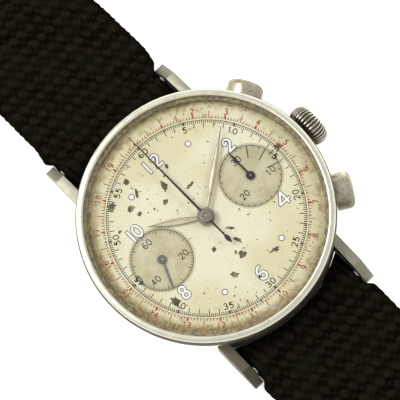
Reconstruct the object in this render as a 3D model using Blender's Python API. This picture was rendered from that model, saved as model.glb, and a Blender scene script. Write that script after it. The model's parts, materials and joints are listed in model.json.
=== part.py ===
"""A mechanical chronograph wristwatch on a woven two-piece strap, laid open with its dial up.

Run with blender --background --python part.py, or from Blender's text editor.
The watch is modelled in millimetres and scaled to metres as each object is made.
+Z points out of the dial, +Y to 12 o'clock, +X to the crown at 3 o'clock, and the
origin is the centre of the case back's flat face, which rests on z = 0.
"""

import math

import bmesh
import bpy
from mathutils import Matrix, Vector

MM = 0.001

# Case
CASE_BOTTOM_Z = 1.5
CASE_TOP_Z = 8.0
BEZEL_TOP_Z = 9.5
BEZEL_OPENING_R = 17.35
LUG_GAP = 20.2
LUG_WIDTH = 1.5
LUG_TIP_Y = 21.8
LUG_FACET_Y = 19.15
BAR_Y = 19.9
BAR_Z = 3.2
BAR_R = 0.75

# Dial and hands
DIAL_R = 16.95
DIAL_Z = 7.4
DIAL_THICKNESS = 0.4
COUNTER_X = 8.66
COUNTER_R = 4.65
COUNTER_DEPTH = 0.12

# Crown and pushers
STEM_Z = 4.8
CROWN_R = 3.1
CROWN_RIBS = 34
PUSHER_Z = 4.2
PUSHER_R = 2.5
PUSHER_ANGLE = 31.0

# Movement levels, from the main plate towards the case back
PLATE_TOP_Z = 6.0
PLATE_Z = 5.2
BRIDGE_TOP_Z = 3.4
BRIDGE_Z = 2.75
MOVEMENT_R = 15.4

# Where each arbor stands
CENTRE = (0.0, 0.0)
FOURTH = (-COUNTER_X, 0.0)
RECORDER = (COUNTER_X, 0.0)
BARREL = (3.25, 5.63)
THIRD = (-4.6, 3.4)
ESCAPE = (-7.306, -3.721)
BALANCE = (-3.4, -9.9)
PALLET = (-5.757, -6.174)
MINUTE = (2.078, 1.2)
COLUMN = (9.6, -9.0)
CROWN_WHEEL = (11.5, 2.5)

# Strap
STRAP_HALF_WIDTH = 10.6
STRAP_NARROW_HALF = 9.9
STRAP_THICKNESS = 1.5
STRAP_REST_Z = 0.06
BUCKLE_PIN_Y = 95.0
LONG_END_Y = -134.0


def clear_scene():
    for found in list(bpy.data.objects):
        bpy.data.objects.remove(found, do_unlink=True)


def finish(name, colour, metallic, roughness):
    made = bpy.data.materials.new(name)
    made.use_nodes = True
    shader = made.node_tree.nodes["Principled BSDF"]
    shader.inputs["Base Color"].default_value = (*colour, 1.0)
    shader.inputs["Metallic"].default_value = metallic
    shader.inputs["Roughness"].default_value = roughness
    made.diffuse_color = (*colour, 1.0)
    return made


# Outlines, in millimetres


def circle(radius, steps, centre=(0.0, 0.0), start=0.0):
    turns = [start + 2 * math.pi * i / steps for i in range(steps)]
    return [(centre[0] + radius * math.cos(a), centre[1] + radius * math.sin(a)) for a in turns]


def toothed(teeth, root, tip, tooth_at=0.0):
    """An outline of pointed teeth, with one tooth's tip at the angle tooth_at."""
    pitch = 2 * math.pi / teeth
    outline = []
    for i in range(teeth):
        at = tooth_at + i * pitch
        outline.append((tip * math.cos(at), tip * math.sin(at)))
        outline.append((root * math.cos(at + pitch / 2), root * math.sin(at + pitch / 2)))
    return outline


def ratchet_outline(teeth, root, tip, tooth_at=0.0):
    """An outline of saw teeth, each with one radial flank."""
    pitch = 2 * math.pi / teeth
    outline = []
    for i in range(teeth):
        at = tooth_at + i * pitch
        outline.append((tip * math.cos(at), tip * math.sin(at)))
        outline.append((root * math.cos(at + 0.12 * pitch), root * math.sin(at + 0.12 * pitch)))
    return outline


def lever_outline(points, widths):
    """A lever's outline: a centre line through the points, this wide at each of them."""
    line = [Vector(p) for p in points]
    left, right = [], []
    for i, here in enumerate(line):
        along = (line[min(i + 1, len(line) - 1)] - line[max(i - 1, 0)]).normalized()
        across = Vector((-along.y, along.x)) * widths[i] / 2
        left.append(tuple(here + across))
        right.append(tuple(here - across))
    return left + right[::-1]


# Shapes, each a bmesh in millimetres


def closed(shape):
    bmesh.ops.remove_doubles(shape, verts=shape.verts, dist=1e-5)
    bmesh.ops.recalc_face_normals(shape, faces=shape.faces)
    return shape


def prism(outline, low, high):
    """The outline, which lies in XY, extruded from one height to the other."""
    shape = bmesh.new()
    bottom = [shape.verts.new((x, y, low)) for x, y in outline]
    top = [shape.verts.new((x, y, high)) for x, y in outline]
    shape.faces.new(bottom[::-1])
    shape.faces.new(top)
    for i in range(len(outline)):
        j = (i + 1) % len(outline)
        shape.faces.new((bottom[i], bottom[j], top[j], top[i]))
    return closed(shape)


def turned(profile, steps, centre=(0.0, 0.0)):
    """The closed profile of (radius, height) points, turned about a vertical axis at the centre."""
    shape = bmesh.new()
    rings = []
    for radius, height in profile:
        if radius < 1e-6:
            rings.append([shape.verts.new((*centre, height))] * steps)
        else:
            rings.append([shape.verts.new((x, y, height)) for x, y in circle(radius, steps, centre)])
    for ring, after in zip(rings, rings[1:] + rings[:1]):
        for i in range(steps):
            j = (i + 1) % steps
            corners = []
            for corner in (ring[i], ring[j], after[j], after[i]):
                if corner not in corners:
                    corners.append(corner)
            if len(corners) > 2:
                shape.faces.new(corners)
    return closed(shape)


def rod(radius, low, high, steps=12, centre=(0.0, 0.0)):
    return turned([(0, low), (radius, low), (radius, high), (0, high)], steps, centre)


def tube(inner, outer, low, high, steps=24, centre=(0.0, 0.0)):
    return turned([(inner, low), (outer, low), (outer, high), (inner, high)], steps, centre)


def block(x, y, z):
    """A box between two values on each axis."""
    return prism([(x[0], y[0]), (x[1], y[0]), (x[1], y[1]), (x[0], y[1])], *z)


def swept(points, radius, sides=8):
    """A round wire of this radius through the points, with flat ends."""
    shape = bmesh.new()
    line = [Vector(p) for p in points]
    rings = []
    for i, here in enumerate(line):
        along = (line[min(i + 1, len(line) - 1)] - line[max(i - 1, 0)]).normalized()
        side = along.orthogonal().normalized() if not rings else (side - side.dot(along) * along).normalized()
        up = along.cross(side)
        turns = [2 * math.pi * k / sides for k in range(sides)]
        rings.append([shape.verts.new(here + radius * (math.cos(a) * side + math.sin(a) * up)) for a in turns])
    for ring, after in zip(rings, rings[1:]):
        for k in range(sides):
            n = (k + 1) % sides
            shape.faces.new((ring[k], ring[n], after[n], after[k]))
    shape.faces.new(rings[0])
    shape.faces.new(rings[-1])
    return closed(shape)


def moved(shape, offset=(0, 0, 0), turn=0.0, axis="Z"):
    """The shape turned by degrees about an axis through the origin, then shifted."""
    matrix = Matrix.Translation(offset) @ Matrix.Rotation(math.radians(turn), 4, axis)
    shape.transform(matrix)
    return shape


def on_crown_side(shape, height, angle=0.0):
    """A shape turned about Z, laid along a radius of the case: its +Z end points outwards."""
    moved(shape, turn=90, axis="Y")
    return moved(shape, (0, 0, height), turn=angle)


def scratch_object(shape):
    mesh = bpy.data.meshes.new("scratch")
    shape.to_mesh(mesh)
    shape.free()
    made = bpy.data.objects.new("scratch", mesh)
    bpy.context.scene.collection.objects.link(made)
    return made


def part(name, material, adds, cuts=(), origin=(0.0, 0.0, 0.0), solver="EXACT"):
    """A named sub-part: the first shape joined with the rest of adds, then cut by each of cuts.

    Its origin, on the axis it moves about where it moves, becomes the object's location.
    """
    base, *others = [scratch_object(shape) for shape in adds]
    cutters = [scratch_object(shape) for shape in cuts]
    for operation, tools in (("UNION", others), ("DIFFERENCE", cutters)):
        for tool in tools:
            step = base.modifiers.new(operation, "BOOLEAN")
            step.operation = operation
            step.solver = solver
            step.object = tool
    bpy.context.view_layer.update()
    mesh = bpy.data.meshes.new_from_object(base.evaluated_get(bpy.context.evaluated_depsgraph_get()))
    for scratch in (base, *others, *cutters):
        bpy.data.objects.remove(scratch, do_unlink=True)
    triangles = bmesh.new()
    triangles.from_mesh(mesh)
    bmesh.ops.remove_doubles(triangles, verts=triangles.verts, dist=1e-4)
    bmesh.ops.triangulate(triangles, faces=triangles.faces)
    triangles.to_mesh(mesh)
    triangles.free()
    mesh.transform(Matrix.Scale(MM, 4) @ Matrix.Translation([-c for c in origin]))
    mesh.name = name
    mesh.materials.clear()
    mesh.materials.append(material)
    mesh.shade_smooth()
    mesh.set_sharp_from_angle(angle=math.radians(35))
    made = bpy.data.objects.new(name, mesh)
    made.location = [c * MM for c in origin]
    bpy.context.scene.collection.objects.link(made)
    return made


def arc(centre, radius, start, end, steps):
    """Points along an arc, from one angle in degrees to the other."""
    turns = [math.radians(start + (end - start) * i / steps) for i in range(steps + 1)]
    return [(centre[0] + radius * math.cos(a), centre[1] + radius * math.sin(a)) for a in turns]


def lofted(outline, levels):
    """The outline scaled and stacked at each (height, scale) level, closed at both ends."""
    shape = bmesh.new()
    rings = [[shape.verts.new((x * s, y * s, z)) for x, y in outline] for z, s in levels]
    for ring, after in zip(rings, rings[1:]):
        for i in range(len(outline)):
            j = (i + 1) % len(outline)
            shape.faces.new((ring[i], ring[j], after[j], after[i]))
    shape.faces.new(rings[0])
    shape.faces.new(rings[-1])
    return closed(shape)


def across(shape):
    """A prism whose outline was drawn in (y, z), turned so that its height runs along X."""
    shape.transform(Matrix(((0, 0, 1, 0), (1, 0, 0, 0), (0, 1, 0, 0), (0, 0, 0, 1))))
    return shape


def bar_along_x(radius, half_length, y, z, steps=12):
    return across(rod(radius, -half_length, half_length, steps, (y, z)))


# Case


def build_case(steel, acrylic):
    wall = [(17.2, CASE_BOTTOM_Z), (18.0, 1.75), (18.35, 2.6), (18.4, 7.3), (18.15, 7.85),
            (17.8, CASE_TOP_Z), (17.05, CASE_TOP_Z), (17.05, 6.95), (16.5, 6.95),
            (16.5, 2.5), (16.25, 2.5), (16.25, CASE_BOTTOM_Z)]
    side = [(13.6, 6.3), (LUG_FACET_Y, 5.5), (21.6, 3.2), (LUG_TIP_Y, 2.9), (LUG_TIP_Y, 2.1),
            (21.2, 1.6), (17.0, 1.7), (13.6, 2.8)]
    lugs = []
    for end in (1, -1):
        for edge in (1, -1):
            outline = [(y * end, z) for y, z in side]
            inner, outer = LUG_GAP / 2 * edge, (LUG_GAP / 2 + LUG_WIDTH) * edge
            lugs.append(across(prism(outline, min(inner, outer), max(inner, outer))))
    drilled = LUG_GAP / 2 + 0.8
    cuts = [bar_along_x(0.45, drilled, BAR_Y * end, BAR_Z, 10) for end in (1, -1)]
    cuts.append(on_crown_side(rod(1.02, 15, 20, 14), STEM_Z))
    for end in (1, -1):
        angle = PUSHER_ANGLE * end
        bore = turned([(0, 15), (1.22, 15), (1.22, 17.35), (PUSHER_R + 0.08, 17.35),
                       (PUSHER_R + 0.08, 20), (0, 20)], 20)
        cuts.append(on_crown_side(bore, PUSHER_Z, angle))
    part("mid_case", steel, [turned(wall, 40), *lugs], cuts)

    section = [(16.65, 7.43), (17.0, 7.43), (17.0, 8.03), (18.35, 8.03), (18.5, 8.35),
               (18.47, 8.8), (18.25, 9.2), (17.95, BEZEL_TOP_Z), (17.5, BEZEL_TOP_Z),
               (BEZEL_OPENING_R, 9.38), (BEZEL_OPENING_R, 8.62), (16.75, 8.62), (16.65, 8.5)]
    part("bezel", steel, [turned(section, 40)])

    dome = [(17.3 * i / 5, 11.3 - 1.75 * (i / 5) ** 2) for i in range(6)]
    hollow = [(16.3 * i / 5, 10.15 - 1.25 * (i / 5) ** 2) for i in range(6)]
    part("crystal", acrylic, [turned(dome + [(17.3, 8.65), (16.3, 8.65)] + hollow[::-1], 30)])

    plate = [(0, 0), (14.2, 0), (16.9, 0.8), (16.9, 1.45), (16.2, 1.45), (16.2, 2.2),
             (15.6, 2.2), (15.6, 0.8), (0, 0.8)]
    notches = []
    for i in range(6):
        notch = block((15.3, 17.5), (-1.0, 1.0), (-0.5, 0.75))
        notches.append(moved(notch, turn=30 + 60 * i))
    part("case_back", steel, [turned(plate, 32)], notches)

    ring = tube(15.6, 16.35, 2.55, 6.9, 28)
    openings = [on_crown_side(rod(0.85, 14, 18, 16), STEM_Z)]
    openings += [on_crown_side(rod(0.8, 14, 18, 16), PUSHER_Z, PUSHER_ANGLE * end) for end in (1, -1)]
    part("movement_ring", steel, [ring], openings)


def build_spring_bars(steel):
    """The sprung bars between the lugs: a body with a thinner tip at each end."""
    for name, end in (("spring_bar_12", 1), ("spring_bar_6", -1)):
        body = bar_along_x(BAR_R, LUG_GAP / 2 - 0.15, BAR_Y * end, BAR_Z)
        tips = bar_along_x(0.4, LUG_GAP / 2 + 0.7, BAR_Y * end, BAR_Z, 10)
        part(name, steel, [body, tips], origin=(0, BAR_Y * end, BAR_Z))


# Crown and pushers


def build_crown(steel):
    ribs = []
    for i in range(CROWN_RIBS):
        pitch = 2 * math.pi / CROWN_RIBS
        for share, radius in ((0, 1.0), (0.5, 0.95)):
            at = (i + share) * pitch
            ribs.append((CROWN_R * radius * math.cos(at), CROWN_R * radius * math.sin(at)))
    levels = [(18.8, 0.86), (19.2, 0.98), (20.5, 1.0), (21.1, 0.9), (21.35, 0.76)]
    recess = turned([(0, 18), (1.3, 18), (1.3, 19.9), (0.57, 19.9), (0.57, 20.6), (0, 20.6)], 14)
    crown = on_crown_side(lofted(ribs, levels), STEM_Z)
    part("crown", steel, [crown], [on_crown_side(recess, STEM_Z)], origin=(18.8, 0, STEM_Z))

    stem = turned([(0, 9.5), (0.45, 9.5), (0.45, 11.0), (0.55, 11.0), (0.55, 20.5), (0, 20.5)], 16)
    square = prism([(0.5, 0.5), (-0.5, 0.5), (-0.5, -0.5), (0.5, -0.5)], 10.0, 10.95)
    stem = on_crown_side(stem, STEM_Z)
    square = on_crown_side(square, STEM_Z)
    part("winding_stem", steel, [stem, square], origin=(9.5, 0, STEM_Z))
    part("crown_tube", steel, [on_crown_side(tube(0.6, 1.0, 16.55, 19.3, 14), STEM_Z)])


def build_pushers(steel):
    for name, end in (("start", 1), ("reset", -1)):
        angle = PUSHER_ANGLE * end
        profile = [(0, 15.9), (0.65, 15.9), (0.65, 20.25), (1.9, 20.25), (1.9, 18.45), (2.42, 18.45),
                   (PUSHER_R, 18.6), (PUSHER_R, 20.2), (2.38, 20.55), (2.1, 20.8), (1.5, 20.93), (0, 21.0)]
        outward = Vector((math.cos(math.radians(angle)), math.sin(math.radians(angle)), 0))
        head = on_crown_side(turned(profile, 22), PUSHER_Z, angle)
        part(f"{name}_pusher", steel, [head], origin=(*(outward * 18.45).xy, PUSHER_Z))
        sleeve = on_crown_side(tube(0.72, 1.2, 16.55, 18.0, 14), PUSHER_Z, angle)
        part(f"{name}_pusher_tube", steel, [sleeve])
        turns, steps = 3.5, 8
        coil = []
        for i in range(int(turns * steps) + 1):
            at = 2 * math.pi * i / steps
            coil.append((1.52 * math.cos(at), 1.52 * math.sin(at), 17.55 + 1.45 * i / (turns * steps)))
        spring = on_crown_side(swept(coil, 0.14, 4), PUSHER_Z, angle)
        part(f"{name}_pusher_spring", steel, [spring])


# Strap and buckle


def ribbon(stations):
    """A flat band through stations of (y, middle height, half width, thickness)."""
    shape = bmesh.new()
    rings = []
    for y, z, half, thick in stations:
        corners = ((-half, z - thick / 2), (half, z - thick / 2), (half, z + thick / 2), (-half, z + thick / 2))
        rings.append([shape.verts.new((x, y, height)) for x, height in corners])
    for ring, after in zip(rings, rings[1:]):
        for i in range(4):
            j = (i + 1) % 4
            shape.faces.new((ring[i], ring[j], after[j], after[i]))
    shape.faces.new(rings[0])
    shape.faces.new(rings[-1])
    return closed(shape)


def eased(share):
    share = min(max(share, 0.0), 1.0)
    return share * share * (3 - 2 * share)


def strap_stations(end, length, rest_z, steps=14):
    """The band from the spring bar, down to where it lies, flaring past the lugs' tips."""
    stations = []
    for i in range(steps + 1):
        out = 0.3 + (length - 0.3) * i / steps if i > 6 else 0.3 + i * 2.6
        if stations and out <= abs(stations[-1][0]) - BAR_Y:
            continue
        lie = rest_z + STRAP_THICKNESS / 2
        height = BAR_Z + (lie - BAR_Z) * eased((out - 0.5) / 15)
        flare = eased((out - 2.9) / 4.5)
        half = STRAP_NARROW_HALF + (STRAP_HALF_WIDTH - STRAP_NARROW_HALF) * flare
        stations.append(((BAR_Y + out) * end, height, half, STRAP_THICKNESS))
    return stations


def build_strap(webbing, steel):
    buckle_length = BUCKLE_PIN_Y - BAR_Y
    pin_z = 1.62
    band = strap_stations(1, buckle_length, 0.65)
    band = [(y, z + (pin_z - z) * eased((y - BUCKLE_PIN_Y + 6) / 6), half, thick) for y, z, half, thick in band]
    loops = [bar_along_x(1.45, STRAP_NARROW_HALF - 0.1, BAR_Y, BAR_Z),
             bar_along_x(1.45, 10.5, BUCKLE_PIN_Y, pin_z)]
    slot = block((-1.4, 1.4), (BUCKLE_PIN_Y - 2.4, BUCKLE_PIN_Y + 3), (-1, 5))
    cuts = [bar_along_x(BAR_R + 0.06, 12, BAR_Y, BAR_Z), slot, bar_along_x(0.58, 12, BUCKLE_PIN_Y, pin_z)]
    part("strap_12", webbing, [ribbon(band), *loops], cuts, origin=(0, BAR_Y, BAR_Z), solver="MANIFOLD")

    long_length = -LONG_END_Y - BAR_Y
    band = strap_stations(-1, long_length - 8, STRAP_REST_Z)
    tip_from, lie = band[-1][0], band[-1][1]
    for i in range(1, 9):
        share = i / 8.4
        band.append((tip_from - 8 * share, lie, STRAP_HALF_WIDTH * math.sqrt(1 - share ** 2.2), STRAP_THICKNESS))
    cuts = [bar_along_x(BAR_R + 0.06, 12, -BAR_Y, BAR_Z)]
    cuts += [rod(0.9, -1, 4, 10, (0, LONG_END_Y + 10.5 + 6.5 * i)) for i in range(7)]
    loop = bar_along_x(1.45, STRAP_NARROW_HALF - 0.1, -BAR_Y, BAR_Z)
    part("strap_6", webbing, [ribbon(band), loop], cuts, origin=(0, -BAR_Y, BAR_Z))

    for name, y, slack in (("fixed_keeper", 87.0, 0.12), ("free_keeper", 74.0, 0.2)):
        outer = block((-11.6, 11.6), (y - 2.2, y + 2.2), (0.05, 4.6))
        inner = block((-STRAP_HALF_WIDTH - slack, STRAP_HALF_WIDTH + slack), (y - 3, y + 3), (0.57, 4.05))
        part(name, webbing, [outer], [inner], origin=(0, y, 0.65))

    frame = [(12.9, 93.6), (12.9, 102.0), *arc((9.9, 102.0), 3.0, 0, 90, 4)[1:],
             *arc((-9.9, 102.0), 3.0, 90, 180, 4), (-12.9, 93.6), (-11.0, 93.6), (-11.0, 102.4),
             (11.0, 102.4), (11.0, 93.6)]
    pin_hole = bar_along_x(0.53, 14, BUCKLE_PIN_Y, pin_z, 12)
    part("buckle_frame", steel, [prism(frame, 0.75, 2.45)], [pin_hole], origin=(0, BUCKLE_PIN_Y, pin_z))
    part("buckle_pin", steel, [bar_along_x(0.5, 12.5, BUCKLE_PIN_Y, pin_z, 12)],
         origin=(0, BUCKLE_PIN_Y, pin_z))
    knuckle = bar_along_x(1.2, 0.9, BUCKLE_PIN_Y, pin_z)
    blade = [(BUCKLE_PIN_Y + 0.2, 2.0), (BUCKLE_PIN_Y + 1.6, 2.5), (BUCKLE_PIN_Y + 9.6, 2.5),
             (BUCKLE_PIN_Y + 9.8, 2.9), (BUCKLE_PIN_Y + 1.2, 3.3), (BUCKLE_PIN_Y - 0.4, 2.8)]
    tongue = across(prism(blade, -0.7, 0.7))
    part("buckle_tongue", steel, [knuckle, tongue], [bar_along_x(0.54, 3, BUCKLE_PIN_Y, pin_z, 12)],
         origin=(0, BUCKLE_PIN_Y, pin_z))


# Dial and hands


def clock_turn(shape, degrees, centre=CENTRE):
    """A hand drawn along +Y, turned clockwise from 12 and set on its arbor."""
    return moved(shape, (*centre, 0), turn=-degrees)


def leaf(length, width, root=0.34, back=0.0):
    """A leaf-shaped hand's outline along +Y, widest near two fifths of its length."""
    right = [(root / 2, -back)]
    for i in range(1, 8):
        share = i / 8
        swell = math.sin(math.pi * share ** 0.75) ** 1.2
        right.append((root / 2 * (1 - share) + width / 2 * swell, length * share))
    return right + [(0.03, length), (-0.03, length)] + [(-x, y) for x, y in right[::-1]]


def sweep_outline():
    """The long chronograph hand: a needle forwards and a lozenge on its tail."""
    right = [(0.13, -3.7), (0.36, -4.4), (0.1, -5.3)]
    needle = [(0.04, 16.1), (0.16, 0.0), (0.13, -3.7)]
    return needle + right[1:] + [(-x, y) for x, y in (right[::-1] + [(0.16, 0.0)])] + [(-0.04, 16.1)]


def build_dial(enamel, pale_metal, blued):
    dial = rod(DIAL_R, DIAL_Z - DIAL_THICKNESS, DIAL_Z, 40)
    cuts = [rod(0.85, 6, 9, 20)]
    for x, y in (FOURTH, RECORDER):
        cuts.append(rod(COUNTER_R, DIAL_Z - COUNTER_DEPTH, 9, 24, (x, y)))
        cuts.append(rod(0.2, 6, 9, 12, (x, y)))
    part("dial", enamel, [dial], cuts, solver="MANIFOLD")

    hour = [prism(leaf(8.45, 0.95), 7.85, 7.95), rod(1.42, 7.82, 8.02, 18)]
    part("hour_hand", pale_metal, [clock_turn(s, 304.5) for s in hour], [rod(0.74, 7, 9, 16)])
    minute = [prism(leaf(13.3, 0.72), 8.15, 8.25), rod(1.42, 8.12, 8.32, 18)]
    part("minute_hand", pale_metal, [clock_turn(s, 53) for s in minute], [rod(0.5, 8, 9, 16)])
    sweep = [prism(sweep_outline(), 8.5, 8.58), rod(0.97, 8.42, 8.7, 16)]
    part("chronograph_hand", blued, sweep, [rod(0.17, 8, 9, 12)])
    for name, length, degrees, centre in (("running_seconds_hand", 4.35, 202.9, FOURTH),
                                          ("minute_counter_hand", 4.45, 0, RECORDER)):
        needle = [(0.11, -1.2), (0.06, length), (-0.06, length), (-0.11, -1.2)]
        shapes = [prism(needle, 7.56, 7.62), rod(0.63, 7.53, 7.66, 14)]
        shapes = [clock_turn(s, degrees, centre) for s in shapes]
        part(name, blued, shapes, [rod(0.14, 7, 9, 10, centre)], origin=(*centre, DIAL_Z))


# Movement


def bearing(a, b):
    """The angle of the line from one arbor to another."""
    return math.atan2(b[1] - a[1], b[0] - a[0])


def distance(a, b):
    return math.hypot(b[0] - a[0], b[1] - a[1])


def gear(teeth, mate_teeth, here, mate, low, high, leads):
    """A wheel or pinion at here, in mesh with its mate.

    The pitch radii share the distance between the arbors by tooth count. A leading
    gear points a tooth at its mate, and the other one a gap.
    """
    module = 2 * distance(here, mate) / (teeth + mate_teeth)
    pitch_radius = module * teeth / 2
    at = bearing(here, mate) + (0 if leads else math.pi / teeth)
    outline = toothed(teeth, pitch_radius - 0.95 * module, pitch_radius + 0.45 * module, at)
    return moved(prism(outline, low, high), (*here, 0))


def arbor(here, radius, low, high, pivot_low, pivot_high):
    """A shaft with a thin pivot at each end."""
    profile = [(0, pivot_low), (0.09, pivot_low), (0.09, low), (radius, low),
               (radius, high), (0.09, high), (0.09, pivot_high), (0, pivot_high)]
    return turned(profile, 10, here)


def sector(inner, outer, start, end, low, high):
    steps = 8
    ring = arc(CENTRE, outer, start, end, steps) + arc(CENTRE, inner, end, start, steps)
    return prism(ring, low, high)


def build_plates(brass_plate, steel):
    pivots = [rod(0.13, 2, 7, 8, at) for at in (THIRD, ESCAPE, PALLET, BALANCE)]
    plate = rod(MOVEMENT_R, PLATE_Z, PLATE_TOP_Z, 40)
    keyless = block((9.3, 16.0), (-1.35, 1.35), (4, 7))
    holes = [rod(0.5, 4, 7, 16), rod(0.2, 4, 7, 9, FOURTH), rod(0.2, 4, 7, 9, RECORDER),
             rod(0.45, 4, 7, 12, BARREL), rod(0.17, 5.5, 7, 10, MINUTE)]
    post = rod(0.5, 2.35, 5.3, 12, CROWN_WHEEL)
    part("main_plate", brass_plate, [plate, post], [keyless, *holes, *pivots], solver="MANIFOLD")

    outline = arc(CENTRE, 15.3, 22, 118, 14) + [(-2.2, 5.0), (0.9, 1.4), (7.2, 1.4), (9.2, 6.4), (12.6, 6.3)]
    foot = sector(12.7, 15.3, 38, 100, BRIDGE_TOP_Z - 0.1, PLATE_Z - 0.03)
    holes = [rod(0.8, 2, 3.7, 16, BARREL)]
    part("barrel_bridge", brass_plate, [prism(outline, BRIDGE_Z, BRIDGE_TOP_Z), foot], holes)

    outline = arc(CENTRE, 15.3, 122, 215, 14) + [(-9.2, -5.6), (-5.6, -5.0), (1.3, -1.2), (1.3, 1.1),
                                                 (0.35, 1.25), (-2.8, 4.9)]
    foot = sector(13.0, 15.3, 132, 205, BRIDGE_TOP_Z - 0.1, PLATE_Z - 0.03)
    holes = [rod(0.42, 2, 3.7, 14), rod(0.2, 2, 3.7, 10, FOURTH), rod(0.13, 2, 3.7, 8, THIRD),
             rod(0.13, 2, 3.7, 8, ESCAPE)]
    part("train_bridge", brass_plate, [prism(outline, BRIDGE_Z, BRIDGE_TOP_Z), foot], holes)

    foot_at = (3.0, -12.3)
    arm = prism(lever_outline([BALANCE, (-0.2, -11.2), foot_at], [2.2, 2.0, 2.8]), BRIDGE_Z, BRIDGE_TOP_Z)
    shapes = [arm, rod(1.3, BRIDGE_Z, BRIDGE_TOP_Z, 20, BALANCE), rod(1.5, 2.76, PLATE_Z - 0.03, 20, foot_at)]
    part("balance_cock", brass_plate, shapes, [rod(0.13, 2, 3.7, 8, BALANCE)])

    pillars = [(4.8, -4.4), (12.5, -2.4)]
    main_arm = lever_outline([CENTRE, (2.6, -2.4), pillars[0], (8.6, -3.2), pillars[1]], [1.5, 1.2, 1.6, 1.4, 1.5])
    side_arm = lever_outline([(8.6, -3.2), RECORDER], [1.3, 1.3])
    shapes = [prism(main_arm, 1.0, 1.35), prism(side_arm, 1.01, 1.34), rod(0.8, 0.99, 1.36, 16),
              rod(0.7, 0.99, 1.36, 16, RECORDER)]
    shapes += [rod(0.5, 1.1, PLATE_Z - 0.03, 12, at) for at in pillars]
    holes = [rod(0.2, 0.9, 1.5, 10), rod(0.2, 0.9, 1.5, 10, RECORDER)]
    part("chronograph_bridge", steel, shapes, holes)


def build_train(brass, steel):
    """The going train, from the mainspring barrel to the balance."""
    drum = [(0.76, 4.45), (0.76, 4.75), (5.3, 4.75), (5.3, 3.75), (4.95, 3.75), (4.95, 4.45)]
    teeth = gear(72, 12, BARREL, CENTRE, 4.45, 4.75, True)
    part("mainspring_barrel", brass, [turned(drum, 24, BARREL), teeth], [rod(0.76, 4, 5, 16, BARREL)],
         origin=(*BARREL, 4.5))
    steps, turns = 12, 5
    coil = []
    for i in range(steps * turns + 1):
        at, radius = 2 * math.pi * i / steps, 1.1 + 3.5 * i / (steps * turns)
        coil.append((BARREL[0] + radius * math.cos(at), BARREL[1] + radius * math.sin(at), 4.17))
    part("mainspring", steel, [swept(coil, 0.16, 3)], origin=(*BARREL, 4.17))
    shaft = [(0, 2.3), (0.7, 2.3), (0.7, 4.95), (0.4, 4.95), (0.4, 5.8), (0, 5.8)]
    part("barrel_arbor", steel, [turned(shaft, 16, BARREL)], origin=(*BARREL, 2.3))

    wheel = gear(75, 10, CENTRE, THIRD, 3.5, 3.65, True)
    pinion = gear(12, 72, CENTRE, BARREL, 4.4, 4.8, False)
    sleeve = rod(0.36, 3.43, 7.9, 14)
    part("centre_wheel", brass, [wheel, sleeve, pinion], [rod(0.2, 3, 8, 12)])

    wheel = gear(80, 10, THIRD, FOURTH, 4.87, 4.99, True)
    pinion = gear(10, 75, THIRD, CENTRE, 3.45, 3.85, False)
    part("third_wheel", brass, [arbor(THIRD, 0.2, 3.43, 5.16, 2.95, 5.8), wheel, pinion],
         origin=(*THIRD, 4.9))

    wheel = gear(70, 7, FOURTH, ESCAPE, 4.3, 4.45, True)
    pinion = gear(10, 80, FOURTH, THIRD, 4.77, 5.1, False)
    driver = gear(38, 20, FOURTH, coupling_at(), 1.75, 1.93, True)
    part("fourth_wheel", brass, [rod(0.12, 1.62, 7.72, 10, FOURTH), wheel, pinion, driver],
         origin=(*FOURTH, 4.4))

    pinion = gear(7, 70, ESCAPE, FOURTH, 4.22, 4.52, False)
    wheel = moved(prism(ratchet_outline(15, 1.3, 1.8), 4.6, 4.72), (*ESCAPE, 0))
    part("escape_wheel", steel, [arbor(ESCAPE, 0.14, 3.45, 5.16, 2.95, 5.8), pinion, wheel],
         origin=(*ESCAPE, 4.6))

    towards = bearing(PALLET, BALANCE)
    arms = [(2.05 * math.cos(towards + math.radians(a)), 2.05 * math.sin(towards + math.radians(a)))
            for a in (128, -128)]
    fork = lever_outline([(0, 0), (3.4 * math.cos(towards), 3.4 * math.sin(towards))], [0.5, 0.28])
    shapes = [arbor((0, 0), 0.16, 4.3, 5.16, 4.2, 5.8), prism(fork, 4.58, 4.74)]
    for x, y in arms:
        shapes.append(prism(lever_outline([(0, 0), (x, y)], [0.45, 0.24]), 4.59, 4.73))
    part("pallet_fork", steel, [moved(s, (*PALLET, 0)) for s in shapes], origin=(*PALLET, 4.6))

    rim = tube(3.6, 4.2, 3.75, 4.1, 28)
    spokes = [block((-3.8, 3.8), (-0.22, 0.22), (3.82, 4.02)), block((-0.22, 0.22), (-3.8, 3.8), (3.83, 4.01))]
    staff = arbor((0, 0), 0.2, 3.62, 5.16, 2.95, 5.8)
    roller = rod(0.9, 4.3, 4.45, 20)
    pin = rod(0.09, 4.35, 4.8, 8, (0.68, 0))
    shapes = [moved(s, (*BALANCE, 0)) for s in (rim, *spokes, staff, rod(0.5, 3.74, 4.12, 14), roller, pin)]
    part("balance_wheel", brass, shapes, origin=(*BALANCE, 3.9))
    coil = []
    for i in range(4 * 10 + 1):
        at, radius = 2 * math.pi * i / 10, 0.5 + 1.4 * i / 40
        coil.append((BALANCE[0] + radius * math.cos(at), BALANCE[1] + radius * math.sin(at), 3.53))
    part("hairspring", steel, [swept(coil, 0.06, 3)], origin=(*BALANCE, 3.53))


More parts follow.
